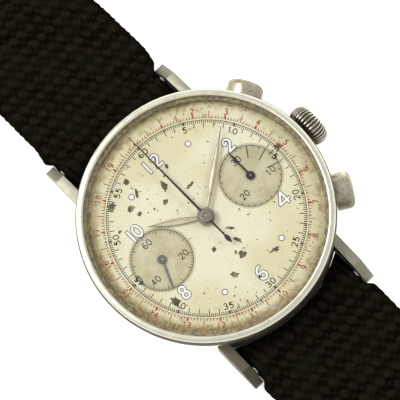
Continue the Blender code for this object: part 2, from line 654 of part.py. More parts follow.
def build_motion_work(brass, steel):
    """Under the dial: one turn of the hour hand for twelve of the minute hand."""
    leaves = gear(12, 36, CENTRE, MINUTE, 6.1, 6.42, True)
    part("cannon_pinion", steel, [rod(0.48, 6.05, 8.36, 16), leaves], [rod(0.38, 5, 9, 14)])
    wheel = gear(36, 12, MINUTE, CENTRE, 6.15, 6.35, False)
    pinion = gear(10, 40, MINUTE, CENTRE, 6.34, 6.8, True)
    part("minute_wheel", brass, [rod(0.14, 5.65, 6.85, 10, MINUTE), wheel, pinion], origin=(*MINUTE, 6.2))
    wheel = gear(40, 10, CENTRE, MINUTE, 6.5, 6.7, False)
    part("hour_wheel", brass, [wheel, rod(0.72, 6.5, 7.98, 18)], [rod(0.52, 6, 9, 16)])


def coupling_at():
    """The coupling wheel's arbor: in mesh with the driver, and just clear of the runner."""
    reach, clear = 4.4, 4.72
    x = (clear ** 2 - reach ** 2 + COUNTER_X ** 2) / (2 * COUNTER_X)
    return (-x, -math.sqrt(clear ** 2 - x ** 2))


def build_winding(brass, steel):
    """Keyless works: the crown winds the barrel through the crown and ratchet wheels."""
    wheel = gear(44, 28, BARREL, CROWN_WHEEL, 2.42, 2.7, True)
    part("ratchet_wheel", steel, [wheel], [rod(0.72, 2, 3, 16, BARREL)], origin=(*BARREL, 2.5))
    wheel = gear(28, 44, CROWN_WHEEL, BARREL, 2.42, 2.7, False)
    skirt = tube(2.4, 3.1, 2.43, 3.58, 24, CROWN_WHEEL)
    part("crown_wheel", steel, [wheel, skirt], [rod(0.55, 2, 3, 12, CROWN_WHEEL)], origin=(*CROWN_WHEEL, 2.5))
    reach = distance(BARREL, (0.9, 12.0))
    nose = [BARREL[i] + ((0.9, 12.0)[i] - BARREL[i]) * 5.62 / reach for i in (0, 1)]
    click = lever_outline([(-1.2, 13.0), (0.2, 12.6), tuple(nose)], [0.7, 1.0, 0.3])
    part("click", steel, [prism(click, 2.42, 2.7)], origin=(0.2, 12.6, 2.5))
    for name, teeth, low, high, bore in (("winding_pinion", 16, 11.9, 13.4, 0.6),
                                         ("sliding_pinion", 14, 10.1, 11.7, 0.74)):
        shape = on_crown_side(prism(toothed(teeth, 0.95, 1.15), low, high), STEM_Z)
        part(name, steel, [shape], [on_crown_side(rod(bore, 9, 14, 16), STEM_Z)], origin=(low, 0, STEM_Z))
    lever = lever_outline([(11.2, 4.6), (12.6, 2.6), (13.9, 0.3)], [0.7, 1.2, 0.5])
    part("setting_lever", steel, [prism(lever, 6.1, 6.4)], origin=(12.6, 2.6, 6.1))


def heart(low, high, centre):
    """A heart-piece cam, which a hammer turns to zero."""
    outline = []
    for i in range(16):
        at = 2 * math.pi * i / 16
        radius = 0.42 + 0.45 * (1 - abs(math.pi - at) / math.pi)
        outline.append((centre[0] + radius * math.sin(at), centre[1] + radius * math.cos(at)))
    return prism(outline, low, high)


def build_chronograph(brass, steel):
    """The stopwatch works, on the bridges under the case back."""
    wheel = prism(toothed(38, 2.66, 2.95), 1.75, 1.93)
    part("chronograph_runner", brass, [rod(0.15, 1.1, 8.75, 12), wheel, heart(1.45, 1.76, CENTRE)])
    wheel = moved(prism(toothed(30, 1.7, 1.9), 1.75, 1.93), (*RECORDER, 0))
    part("minute_recorder", brass, [rod(0.12, 1.1, 7.72, 10, RECORDER), wheel, heart(1.45, 1.76, RECORDER)],
         origin=(*RECORDER, 1.8))
    at = coupling_at()
    wheel = gear(20, 38, at, FOURTH, 1.75, 1.93, False)
    part("coupling_wheel", brass, [rod(0.3, 1.6, 2.0, 10, at), wheel], origin=(*at, 1.8))
    lever = lever_outline([at, (-7.6, -3.9), (-11.6, -6.0)], [1.0, 0.9, 1.4])
    part("coupling_lever", steel, [prism(lever, 2.05, 2.35)], origin=(-11.6, -6.0, 2.1))

    columns = toothed(6, 0.95, 1.5)
    base = ratchet_outline(12, 1.25, 1.6)
    shapes = [prism(base, 2.05, 2.35), prism(columns, 1.45, 2.1), rod(0.5, 1.4, PLATE_Z - 0.04, 12)]
    part("column_wheel", steel, [moved(s, (*COLUMN, 0)) for s in shapes], origin=(*COLUMN, 2.1))
    lever = lever_outline([(12.8, 7.0), (14.3, 1.5), (13.4, -4.0), (11.9, -7.0), (11.3, -7.9)],
                          [1.0, 1.0, 0.8, 0.6, 0.3])
    part("operating_lever", steel, [prism(lever, 2.05, 2.35)], origin=(14.3, 1.5, 2.1))
    lever = lever_outline([(13.0, -7.9), (9.9, -3.9), (5.0, -3.3), (1.2, -3.0)], [0.6, 1.0, 0.6, 0.8])
    part("hammer", steel, [prism(lever, 1.45, 1.7)], origin=(9.9, -3.9, 1.5))


def main():
    clear_scene()
    steel = finish("steel", (0.62, 0.60, 0.55), 1.0, 0.28)
    acrylic = finish("acrylic", (0.95, 0.95, 0.92), 0.0, 0.05)
    webbing = finish("webbing", (0.02, 0.018, 0.012), 0.0, 0.9)
    enamel = finish("dial_enamel", (0.86, 0.83, 0.66), 0.0, 0.5)
    pale_metal = finish("hand_metal", (0.75, 0.70, 0.52), 1.0, 0.25)
    blued = finish("blued_steel", (0.08, 0.08, 0.10), 1.0, 0.3)
    gilt = finish("gilt_brass", (0.72, 0.56, 0.30), 1.0, 0.3)
    build_case(steel, acrylic)
    build_spring_bars(steel)
    build_crown(steel)
    build_pushers(steel)
    build_strap(webbing, steel)
    build_dial(enamel, pale_metal, blued)
    build_plates(gilt, steel)
    build_train(gilt, steel)
    build_motion_work(gilt, steel)
    build_winding(gilt, steel)
    build_chronograph(gilt, steel)


main()
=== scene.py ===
"""Looks for the chronograph wristwatch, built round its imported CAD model.

Lengths are in millimetres until a piece is made, in the CAD model's own frame: +Z out
of the dial, +Y to 12 o'clock, +X to the crown, and z = 0 under the case back. Angles on
the dial are in degrees clockwise from 12.
"""

import json
import math
import random

import bmesh
import bpy
from mathutils import Matrix, Vector, noise


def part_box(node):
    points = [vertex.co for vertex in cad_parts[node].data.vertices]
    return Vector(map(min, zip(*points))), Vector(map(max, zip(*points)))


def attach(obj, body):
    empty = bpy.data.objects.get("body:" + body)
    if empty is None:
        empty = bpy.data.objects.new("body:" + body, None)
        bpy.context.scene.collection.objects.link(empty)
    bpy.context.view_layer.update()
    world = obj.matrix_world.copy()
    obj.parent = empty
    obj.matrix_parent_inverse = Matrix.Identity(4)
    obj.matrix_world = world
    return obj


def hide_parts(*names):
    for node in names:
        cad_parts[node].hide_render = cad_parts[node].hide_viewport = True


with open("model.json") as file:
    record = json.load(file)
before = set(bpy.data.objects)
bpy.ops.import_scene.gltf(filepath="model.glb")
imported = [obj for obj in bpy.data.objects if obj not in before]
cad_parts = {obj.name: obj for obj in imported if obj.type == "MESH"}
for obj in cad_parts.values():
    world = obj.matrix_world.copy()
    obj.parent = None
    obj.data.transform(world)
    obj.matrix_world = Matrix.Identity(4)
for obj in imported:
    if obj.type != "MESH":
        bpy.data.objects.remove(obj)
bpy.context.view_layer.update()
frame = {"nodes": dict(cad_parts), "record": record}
MM = 0.001


def high(node):
    """A node's highest corner at rest."""
    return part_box(node)[1] / MM


DIAL_Z = high("dial").z
DIAL_R = high("dial").x
COUNTER_X = 8.66
COUNTER_R = 4.65
COUNTER_Z = DIAL_Z - 0.12
COUNTER_TOP = COUNTER_Z + 0.03
STEM_Z = 4.8
PUSHER_Z = 4.2
PUSHER_ANGLE = 31.0
BAR_Y = 19.9
BAR_Z = 3.2
FOURTH = (-COUNTER_X, 0.0)
RECORDER = (COUNTER_X, 0.0)
COUNTERS = (FOURTH, RECORDER)
CENTRE = (0.0, 0.0)
INK = 0.012


# Geometry: a Solid holds closed shapes as vertices and faces, in millimetres


def turned(x, y, degrees, place):
    """A point turned anticlockwise about the origin, then moved by the place."""
    a = math.radians(degrees)
    return (place[0] + x * math.cos(a) - y * math.sin(a), place[1] + x * math.sin(a) + y * math.cos(a))


def spot(radius, degrees, centre=CENTRE):
    """The point at a radius and a clock angle."""
    return turned(0, radius, -degrees, centre)


def ring_points(radius, steps, centre=CENTRE):
    return [turned(radius, 0, 360 * i / steps, centre) for i in range(steps)]


def rectangle(left, bottom, right, top):
    return [(left, bottom), (right, bottom), (right, top), (left, top)]


class Solid:
    def __init__(self):
        self.verts = []
        self.faces = []

    def rings(self, rings, wrap=False):
        """Joins rings of points into a closed body: capped, or wrapped round onto the first ring."""
        first, count = len(self.verts), len(rings[0])
        for ring in rings:
            self.verts += [tuple(p) for p in ring]
        rows = [range(first + n * count, first + (n + 1) * count) for n in range(len(rings))]
        for a, b in zip(rows, rows[1:] + (rows[:1] if wrap else [])):
            self.faces += [(a[i - 1], a[i], b[i], b[i - 1]) for i in range(count)]
        if not wrap:
            self.faces += [rows[0][::-1], rows[-1]]
        return self

    def prism(self, outline, bottom, top):
        area = sum(a[0] * b[1] - b[0] * a[1] for a, b in zip(outline, outline[1:] + outline[:1]))
        outline = outline if area > 0 else outline[::-1]
        return self.rings([[(x, y, z) for x, y in outline] for z in (bottom, top)])

    def lathe(self, profile, steps, centre=CENTRE, wrap=True):
        """A closed profile of (radius, height) points off the axis, turned about it."""
        rings = [[(*p, h) for p in ring_points(max(r, 1e-3), steps, centre)] for r, h in profile]
        return self.rings(rings, wrap)

    def cap_lathe(self, profile, steps, centre=CENTRE):
        """A profile from the axis below to the axis above, turned about it."""
        return self.lathe(profile, steps, centre, wrap=False)

    def transform(self, matrix):
        self.verts = [tuple(matrix @ Vector(v)) for v in self.verts]
        return self

    def add(self, other):
        first = len(self.verts)
        self.verts += other.verts
        self.faces += [[first + i for i in face] for face in other.faces]
        return self

    def mesh(self):
        made = bpy.data.meshes.new("shape")
        made.from_pydata([(x * MM, y * MM, z * MM) for x, y, z in self.verts], [], self.faces)
        shape = bmesh.new()
        shape.from_mesh(made)
        bmesh.ops.remove_doubles(shape, verts=shape.verts, dist=1e-7)
        bmesh.ops.recalc_face_normals(shape, faces=shape.faces)
        shape.to_mesh(made)
        shape.free()
        return made


def rotation(degrees, axis="Z"):
    return Matrix.Rotation(math.radians(degrees), 4, axis)


def outward(degrees, height):
    """The matrix that lays a shape drawn along +Z on a radius of the case, its top outwards."""
    return Matrix.Translation((0, 0, height)) @ rotation(degrees) @ rotation(90, "Y")


def linked(name, data):
    """A new object of this data, in the scene."""
    made = bpy.data.objects.new(name, data)
    bpy.context.scene.collection.objects.link(made)
    return made


def piece(name, mesh, body, material, replaces=(), sharp=35.0, bevel=0.0, others=()):
    """An object in the scene that rides on a body, and stands for the nodes it replaces."""
    made = linked(name, mesh)
    mesh.name = name
    mesh.materials.clear()
    for finish in (material, *others):
        mesh.materials.append(finish)
    mesh.shade_smooth()
    mesh.set_sharp_from_angle(angle=math.radians(sharp))
    if bevel:
        rounded = made.modifiers.new("edges", "BEVEL")
        rounded.width = bevel * MM
        rounded.segments = 2
        rounded.angle_limit = math.radians(sharp)
        rounded.limit_method = "ANGLE"
        rounded.harden_normals = True
    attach(made, body)
    if replaces:
        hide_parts(*replaces)


def carved(base, adds=(), cuts=()):
    """The base's mesh with the adds joined on and the cuts taken out."""
    objects = [linked("scratch", shape.mesh()) for shape in (base, *adds, *cuts)]
    for i, tool in enumerate(objects[1:]):
        step = objects[0].modifiers.new("step", "BOOLEAN")
        step.operation = "UNION" if i < len(adds) else "DIFFERENCE"
        step.solver = "MANIFOLD"
        step.object = tool
    bpy.context.view_layer.update()
    graph = bpy.context.evaluated_depsgraph_get()
    result = bpy.data.meshes.new_from_object(objects[0].evaluated_get(graph))
    for made in objects:
        bpy.data.objects.remove(made, do_unlink=True)
    return result


def tag(mesh, name, values):
    """Gives each point of the mesh a number for its shader."""
    mesh.attributes.new(name, "FLOAT", "POINT").data.foreach_set("value", values)


# Materials


class Shader:
    """A material whose textures are measured in millimetres on the object."""

    def __init__(self, name, colour, metallic=0.0, roughness=0.5, **values):
        self.material = bpy.data.materials.new(name)
        self.material.use_nodes = True
        self.material.diffuse_color = (*colour, 1.0)
        self.tree = self.material.node_tree
        self.surface = self.tree.nodes["Principled BSDF"]
        self.set("Base Color", colour)
        self.set("Metallic", metallic)
        self.set("Roughness", roughness)
        for key, value in values.items():
            self.set(key.replace("_", " "), value)
        self.place = self.tree.nodes.new("ShaderNodeTexCoord").outputs["Object"]
        self.place = self.stretched(1 / MM, 1 / MM, 1 / MM)

    def set(self, socket, value):
        self.put(self.surface.inputs[socket], value)

    def put(self, socket, value):
        if isinstance(value, bpy.types.NodeSocket):
            self.tree.links.new(value, socket)
        else:
            socket.default_value = (*value, 1.0) if socket.type == "RGBA" else value

    def node(self, kind, inputs, **settings):
        made = self.tree.nodes.new(kind)
        for key, value in settings.items():
            setattr(made, key, value)
        for key, value in inputs.items():
            self.put(made.inputs[key], value)
        return made

    def stretched(self, x, y, z):
        """The place, scaled by each amount, for a grain."""
        return self.node("ShaderNodeMapping", {"Vector": self.place, "Scale": (x, y, z)}).outputs[0]

    def noise(self, scale, detail=3.0, rough=0.5, place=None):
        inputs = {"Vector": place or self.place, "Scale": scale, "Detail": detail, "Roughness": rough}
        return self.node("ShaderNodeTexNoise", inputs).outputs["Fac"]

    def spread(self, value, from_low, from_high, to_low=0.0, to_high=1.0):
        inputs = {"Value": value, "From Min": from_low, "From Max": from_high,
                  "To Min": to_low, "To Max": to_high}
        return self.node("ShaderNodeMapRange", inputs, interpolation_type="SMOOTHSTEP").outputs[0]

    def mix(self, share, first, second):
        inputs = {0: share, 6: first, 7: second}
        return self.node("ShaderNodeMix", inputs, data_type="RGBA").outputs[2]

    def math(self, operation, first, second=0.0, third=0.0):
        inputs = {0: first, 1: second, 2: third}
        return self.node("ShaderNodeMath", inputs, operation=operation).outputs[0]

    def plus(self, base, other, times=1.0):
        """The base, with so many times the other added."""
        return self.math("MULTIPLY_ADD", other, times, base)

    def vector(self, operation, first, second=(0, 0, 0)):
        return self.node("ShaderNodeVectorMath", {0: first, 1: second}, operation=operation)

    def bump(self, height, distance, strength=1.0):
        """Bump whose full height is this distance in millimetres."""
        inputs = {"Height": height, "Distance": distance * MM, "Strength": strength}
        self.set("Normal", self.node("ShaderNodeBump", inputs).outputs[0])

    def radius(self, centre=CENTRE):
        """The distance from an upright axis."""
        shifted = self.vector("SUBTRACT", self.place, (*centre, 0)).outputs[0]
        flat = self.vector("MULTIPLY", shifted, (1, 1, 0)).outputs[0]
        return self.vector("LENGTH", flat).outputs["Value"]

    def along(self, x, y, z):
        """How far a point lies in a direction."""
        return self.vector("DOT_PRODUCT", self.place, (x, y, z)).outputs["Value"]

    def attribute(self, name):
        return self.node("ShaderNodeAttribute", {}, attribute_name=name).outputs["Fac"]


def steel_shader(name, colour, rough, grain=None, dirt=0.0, relief=None):
    """Worn steel: cloudy roughness, fine scratches along the grain, and dull specks."""
    s = Shader(name, colour, 1.0)
    fine = s.noise(1.0, 2, place=s.stretched(*(grain or (9, 9, 9))))
    cloudy = s.plus(s.noise(0.9, 4), fine, 0.5)
    s.set("Roughness", s.spread(cloudy, 0.45, 1.0, *rough))
    specks = s.spread(s.noise(2.6, 4, 0.65), 0.62, 0.72)
    dull = tuple(c * 0.45 for c in colour)
    s.set("Base Color", s.mix(s.math("MULTIPLY", specks, dirt), colour, dull))
    s.bump(fine, relief or (0.006 if grain else 0.003), 0.6)
    return s.material


LUG_GRAIN = (14, 0.7, 14)
STEEL = steel_shader("polished_steel", (0.74, 0.72, 0.66), (0.10, 0.24), dirt=0.35)
BEZEL_STEEL = steel_shader("bezel_steel", (0.98, 0.95, 0.80), (0.26, 0.36), dirt=0.08, relief=0.001)
BRUSHED = steel_shader("brushed_steel", (0.45, 0.43, 0.34), (0.48, 0.60), LUG_GRAIN, 0.5)
# Painted shade: a darker, unbrushed copy of the lug steel for the steeper tip facets, with dirt specks.
LUG_TIP = steel_shader("lug_tip", (0.31, 0.30, 0.23), (0.40, 0.58), dirt=0.8)
# Darker copies of the lug finishes, for the lug at the lower left.
LOWER_LEFT_LUG = steel_shader("lower_left_lug", (0.20, 0.18, 0.13), (0.48, 0.60), LUG_GRAIN, 0.5)
LOWER_LEFT_TIP = steel_shader("lower_left_lug_tip", (0.105, 0.10, 0.07), (0.40, 0.58), dirt=0.8)
# Painted shade: dark steel with dirt specks, for the gap between case and bezel and for the case wall
# behind the strap.
GAP_SHADE = steel_shader("bezel_gap_shade", (0.10, 0.09, 0.07), (0.45, 0.60), dirt=0.5)
BACK_STEEL = steel_shader("case_back_steel", (0.68, 0.66, 0.60), (0.22, 0.36), (11, 0.6, 11), 0.5, 0.003)
MOVEMENT_STEEL = steel_shader("movement_steel", (0.56, 0.56, 0.56), (0.22, 0.34), (0.8, 16, 0.8))
GILT = steel_shader("gilt_brass", (0.80, 0.62, 0.34), (0.26, 0.40), (0.8, 12, 0.8), 0.2)


# Camera, light and floor


def set_camera():
    """Looks down on the dial, a little from 8 o'clock, with 12 o'clock turned to the upper left."""
    azimuth, elevation, roll = (math.radians(a) for a in (-26.7, 76.8, 17.4))
    distance, width, aside, above = 430.0, 56.45, 0.905, 2.47
    level = Vector((math.cos(azimuth), math.sin(azimuth), 0))
    back = Vector((level.y * math.cos(elevation), -level.x * math.cos(elevation), math.sin(elevation)))
    rise = back.cross(level)
    right = math.cos(roll) * level - math.sin(roll) * rise
    up = math.sin(roll) * level + math.cos(roll) * rise
    target = Vector((0, 0, DIAL_Z)) - aside * right + above * up
    data = bpy.data.cameras.new("camera")
    data.sensor_width = 36.0
    data.lens = 36.0 * distance / width
    data.clip_start = 0.01
    camera = linked("camera", data)
    facing = Matrix((right, up, back)).transposed().to_4x4()
    camera.matrix_world = Matrix.Translation((target + distance * back) * MM) @ facing
    bpy.context.scene.camera = camera


def area_light(name, place, size, watts, glossy=True):
    """A soft light at a place in millimetres, aimed at the watch; steel reflects it if glossy."""
    data = bpy.data.lights.new(name, "AREA")
    data.shape = "RECTANGLE"
    data.size, data.size_y = size[0] * MM, size[1] * MM
    data.energy = watts
    light = linked(name, data)
    light.location = Vector(place) * MM
    light.rotation_euler = (-Vector(place)).to_track_quat("-Z", "Y").to_euler()
    light.visible_glossy = glossy


def set_studio():
    world = bpy.data.worlds.new("studio")
    world.use_nodes = True
    nodes, links = world.node_tree.nodes, world.node_tree.links
    height = nodes.new("ShaderNodeSeparateXYZ")
    links.new(nodes.new("ShaderNodeTexCoord").outputs["Generated"], height.inputs[0])
    ramp = nodes.new("ShaderNodeValToRGB")
    sky = ((0.05, (1.5, 1.47, 1.34, 1.0)), (0.75, (0.88, 0.88, 0.87, 1.0)))
    for stop, (place, colour) in zip(ramp.color_ramp.elements, sky):
        stop.position = place
        stop.color = colour
    links.new(height.outputs["Z"], ramp.inputs[0])
    backdrop = nodes["Background"]
    links.new(ramp.outputs[0], backdrop.inputs["Color"])
    backdrop.inputs["Strength"].default_value = 0.6
    bpy.context.scene.world = world
    bpy.context.scene.view_settings.view_transform = "Standard"
    area_light("key", (-160, 260, 420), (260, 200), 1.5)
    area_light("fill", (300, -120, 300), (220, 160), 0.55, glossy=False)
    mesh = Solid().prism(rectangle(-900, -900, 900, 900), -3.0, -0.02).mesh()
    paper = Shader("paper", (0.93, 0.93, 0.93), 0.0, 0.8)
    paper.set("Emission Color", (1.0, 1.0, 1.0))
    paper.set("Emission Strength", 0.6)
    paper.bump(paper.noise(0.8, 3), 0.01)
    mesh.materials.append(paper.material)
    made = linked("floor", mesh)


# Case


def rounded_profile(points, radius, steps=4):
    """The closed profile with each corner turned into a small arc."""
    made = []
    for i, here in enumerate(points):
        before, after = Vector(points[i - 1]), Vector(points[(i + 1) % len(points)])
        here = Vector(here)
        into, out = before - here, after - here
        reach = min(radius, into.length * 0.45, out.length * 0.45)
        start, end = here + into.normalized() * reach, here + out.normalized() * reach
        for k in range(steps + 1):
            t = k / steps
            made.append(tuple(start.lerp(here, t).lerp(here.lerp(end, t), t)))
    return made


def lug(end, edge):
    """One lug: a flat brushed top, a facet, and a steeper tip with a square end."""
    side = [(13.6, 6.35), (19.15, 5.5), (21.6, 3.2), (21.8, 2.9), (21.8, 2.1), (21.2, 1.6), (17.0, 1.7),
            (13.6, 2.8)]
    inner, outer = 10.1, 11.6
    rings = [[(x * edge, y * end, z) for y, z in side] for x in (inner, outer)]
    shape = bmesh.new()
    mesh = Solid().rings(rings).mesh()
    shape.from_mesh(mesh)
    bpy.data.meshes.remove(mesh)
    edges = [e for e in shape.edges if e.calc_face_angle() > math.radians(12)]
    bmesh.ops.bevel(shape, geom=edges, offset=0.07 * MM, segments=2, affect="EDGES", profile=0.6)
    bevelled = Solid()
    bevelled.verts = [tuple(v.co / MM) for v in shape.verts]
    bevelled.faces = [[v.index for v in face.verts] for face in shape.faces]
    shape.free()
    return bevelled


def rehaut_shader():
    """The steel wall under the crystal's edge: dull, browned and dark towards the dial."""
    s = Shader("inner_wall", (0.20, 0.165, 0.10), 0.1, 0.5)
    lighter = s.spread(s.plus(s.along(0, 0, 1), s.noise(0.8, 3)), 8.4, 9.6)
    plain = s.mix(lighter, (0.115, 0.088, 0.045), (0.27, 0.23, 0.14))
    s.set("Base Color", s.mix(s.spread(s.noise(1.6, 5, 0.7), 0.46, 0.58), plain, (0.40, 0.34, 0.19)))
    return s.material


def case_finish(x, y, z, upward):
    """The number of the finish that a face of the case takes: a lug's, its tip's, or the painted shade
    in the gap under the bezel and on the wall behind the strap.
    """
    reach = math.hypot(x, y)
    behind_strap = abs(x) < 10.15 and abs(y) > 14
    # Painted shade: the shoulder under the bezel and the wall behind the strap take the dark gap finish.
    if reach > 17.85 and (z > 7.3 or behind_strap):
        return 1
    if abs(x) <= 9.9 or abs(y) <= 12 or reach <= 18.45:
        return 0
    # Painted shade: the steeper tip facets take the darker tip finish.
    tip = abs(y) > 19.2 and upward > 0.2
    # The lug at the lower left takes a darker copy of its finish.
    lower_left = x < 0 and y < 0
    return 2 + 2 * int(tip) + int(lower_left)


def build_case():
    wall = [(17.2, 1.5), (18.0, 1.75), (18.35, 2.6), (18.4, 7.3), (18.15, 7.85), (17.8, 8.0),
            (17.05, 8.0), (17.05, 6.95), (16.5, 6.95), (16.5, 2.5), (16.25, 2.5), (16.25, 1.5)]
    body = Solid().lathe(rounded_profile(wall, 0.2), 200)
    lugs = [lug(end, edge) for end in (1, -1) for edge in (1, -1)]
    cuts = [Solid().cap_lathe([(1.02, 15), (1.02, 20)], 32).transform(outward(0, STEM_Z))]
    bore = [(1.22, 15), (1.22, 17.35), (2.8, 17.35), (2.8, 20)]
    for end in (1, -1):
        cuts.append(Solid().cap_lathe(bore, 48).transform(outward(PUSHER_ANGLE * end, PUSHER_Z)))
    mesh = carved(body, lugs, cuts)
    others = (GAP_SHADE, BRUSHED, LOWER_LEFT_LUG, LUG_TIP, LOWER_LEFT_TIP)
    piece("case_body", mesh, "case", STEEL, ["mid_case"], 22, others=others)
    for face in mesh.polygons:
        face.material_index = case_finish(*(face.center / MM), face.normal.z)
    section = [(16.85, 7.43), (17.0, 7.43), (17.0, 8.03), (18.35, 8.03), (18.5, 8.35), (18.48, 8.75),
               (18.36, 9.1), (18.24, 9.25), (18.1, 9.36), (17.8, 9.49), (17.5, 9.5), (17.37, 9.4),
               (17.35, 9.3), (17.35, 8.62), (16.93, 8.62), (16.85, 8.5)]
    mesh = Solid().lathe(rounded_profile(section, 0.07, 2), 240).mesh()
    others = (rehaut_shader(), GAP_SHADE)
    piece("bezel_ring", mesh, "case", BEZEL_STEEL, ["bezel"], 50, others=others)
    for face in mesh.polygons:
        x, y, z = face.center / MM
        reach = math.hypot(x, y)
        # Faces inside the crystal's edge take the inner wall finish. Painted shade: the bezel's outer
        # flank takes the dark gap finish.
        face.material_index = int(reach < 17.37 and z < 9.25) + 2 * int(reach > 18.2 and z < 9.2)


def build_crystal():
    dome = [(17.3 * i / 24, 11.3 - 1.75 * (i / 24) ** 2) for i in range(25)]
    hollow = [(16.3 * i / 24, 10.15 - 1.25 * (i / 24) ** 2) for i in range(25)]
    profile = hollow + [(16.3, 8.65), (17.3, 8.65)] + dome[::-1]
    mesh = Solid().cap_lathe(profile, 160).mesh()
    s = Shader("acrylic", (0.10, 0.10, 0.09), 0.0, 0.03, Alpha=0.05, IOR=1.49, Specular_IOR_Level=0.1)
    s.set("Roughness", s.spread(s.noise(0.7, 5, 0.6), 0.35, 0.75, 0.02, 0.14))
    piece("crystal_dome", mesh, "case", s.material, ["crystal"], sharp=30)


# Dial


def dial_shader():
    """Aged silvered enamel: cream, yellowed on one side, stained round the edge with painted shade from
    the bezel over the stain, deeper on the left, and pitted.
    """
    s = Shader("dial_enamel", (0.84, 0.80, 0.60), 0.0, 0.42)
    radius = s.radius()
    wide = s.noise(0.11, 2, 0.5)
    clouds = s.noise(0.45, 5, 0.62)
    yellow = s.spread(s.plus(wide, radius, 0.014), 0.50, 0.80, 0.0, 0.75)
    colour = s.mix(yellow, (0.86, 0.83, 0.62), (0.74, 0.68, 0.40))
    # Round the edge: real brown staining, with painted shade from the bezel over it that reaches further
    # in on the left (x < 0).
    aside = s.along(1, 0, 0)
    edge = s.plus(radius, clouds, 3.2)
    edge = s.plus(edge, aside, -0.035)
    colour = s.mix(s.spread(edge, 16.75, 18.3, 0.0, 0.75), colour, (0.50, 0.41, 0.20))
    colour = s.mix(s.spread(edge, 18.2, 19.0, 0.0, 0.85), colour, (0.20, 0.14, 0.055))
    mottle = s.noise(1.9, 5, 0.75)
    band = s.spread(s.plus(radius, mottle, 2.2), 16.35, 17.2, 0.0, 0.92)
    towards_8 = s.along(-0.91, -0.42, 0)
    band = s.math("MULTIPLY", band, s.spread(towards_8, 4.0, 12.5))
    brown = s.mix(s.spread(s.noise(2.4, 4, 0.7), 0.42, 0.60), (0.17, 0.12, 0.045), (0.42, 0.34, 0.16))
    colour = s.mix(band, colour, brown)
    rust = s.plus(s.noise(0.9, 5, 0.7), radius, 0.03)
    colour = s.mix(s.spread(rust, 0.98, 1.12, 0.0, 0.65), colour, (0.40, 0.24, 0.10))
    fine = s.spread(s.noise(2.6, 5, 0.75), 0.645, 0.69, 0.0, 0.8)
    colour = s.mix(fine, colour, (0.30, 0.25, 0.14))
    s.set("Base Color", colour)
    s.set("Roughness", s.spread(clouds, 0.3, 0.7, 0.34, 0.55))
    s.bump(s.noise(4.0, 3), 0.004)
    return s.material


def counter_shader(name, centre):
    """A sunk sub-dial: darker and greyer, with a fine concentric grain."""
    s = Shader(name, (0.60, 0.55, 0.38), 0.25, 0.38)
    radius = s.radius(centre)
    clouds = s.noise(0.5, 4, 0.6)
    colour = s.mix(s.spread(clouds, 0.3, 0.7), (0.54, 0.49, 0.285), (0.69, 0.65, 0.45))
    rim = s.spread(s.plus(radius, clouds, 1.2), 4.3, 5.3, 0.0, 0.6)
    s.set("Base Color", s.mix(rim, colour, (0.34, 0.30, 0.19)))
    grooves = s.math("SINE", s.math("MULTIPLY", radius, 46.0))
    s.bump(grooves, 0.004, 0.5)
    return s.material


def ink_shader(name, colour, faded, wear):
    """Printing ink, worn thin in places."""
    s = Shader(name, colour, 0.0, 0.5)
    share = s.spread(s.noise(1.3, 5, 0.7), wear, wear + 0.16)
    s.set("Base Color", s.mix(share, colour, faded))
    s.bump(s.noise(9.0, 2), 0.004)
    return s.material


INK_DARK = ink_shader("ink_dark", (0.022, 0.020, 0.014), (0.12, 0.10, 0.06), 0.55)
INK_RED = ink_shader("ink_red", (0.34, 0.070, 0.030), (0.52, 0.28, 0.13), 0.47)
INK_RIM = ink_shader("ink_rim", (0.30, 0.25, 0.13), (0.52, 0.46, 0.28), 0.45)
INK_WHITE = ink_shader("ink_white", (0.97, 0.97, 0.94), (0.90, 0.88, 0.76), 0.56)
STAIN = ink_shader("corrosion", (0.085, 0.068, 0.036), (0.27, 0.23, 0.13), 0.46)


def printed(name, shape, material):
    """A shape that lies on the dial."""
    piece(name, shape.mesh(), "case", material, sharp=20)


def build_dial():
    edge = [(DIAL_R, DIAL_Z - 0.4), (DIAL_R, DIAL_Z - 0.03), (DIAL_R - 0.03, DIAL_Z)]
    base = Solid().cap_lathe(edge, 200)
    cuts = [Solid().cap_lathe([(0.85, 6), (0.85, 9)], 40)]
    well = [(COUNTER_R - 0.1, COUNTER_Z), (COUNTER_R, DIAL_Z - 0.01), (COUNTER_R + 0.6, DIAL_Z + 0.4)]
    for centre in COUNTERS:
        cuts.append(Solid().cap_lathe(well, 120, centre))
        cuts.append(Solid().cap_lathe([(0.2, 6), (0.2, 9)], 20, centre))
    mesh = carved(base, cuts=cuts)
    piece("dial_plate", mesh, "case", dial_shader(), ["dial"], sharp=20)
    low = COUNTER_Z + 0.002
    disc = [(0.24, low), (0.24, COUNTER_TOP), (COUNTER_R - 0.13, COUNTER_TOP), (COUNTER_R - 0.1, low)]
    for name, centre in zip(("seconds_counter", "minutes_counter"), COUNTERS):
        printed(name, Solid().lathe(disc, 120, centre), counter_shader(name + "_enamel", centre))


# Printing, as thin raised ink


def band(points, width):
    """The outline of a line this wide through the points, as left and right edges."""
    line = [Vector(p) for p in points]
    left, right = [], []
    for i, here in enumerate(line):
        back, ahead = here - line[max(i - 1, 0)], line[min(i + 1, len(line) - 1)] - here
        into = back.normalized() if back.length > 1e-9 else ahead.normalized()
        out = ahead.normalized() if ahead.length > 1e-9 else into
        middle = (into + out).normalized()
        reach = width / 2 / max(middle.dot(into), 0.55)
        across = Vector((-middle.y, middle.x)) * reach
        left.append(tuple(here + across))
        right.append(tuple(here - across))
    return left, right


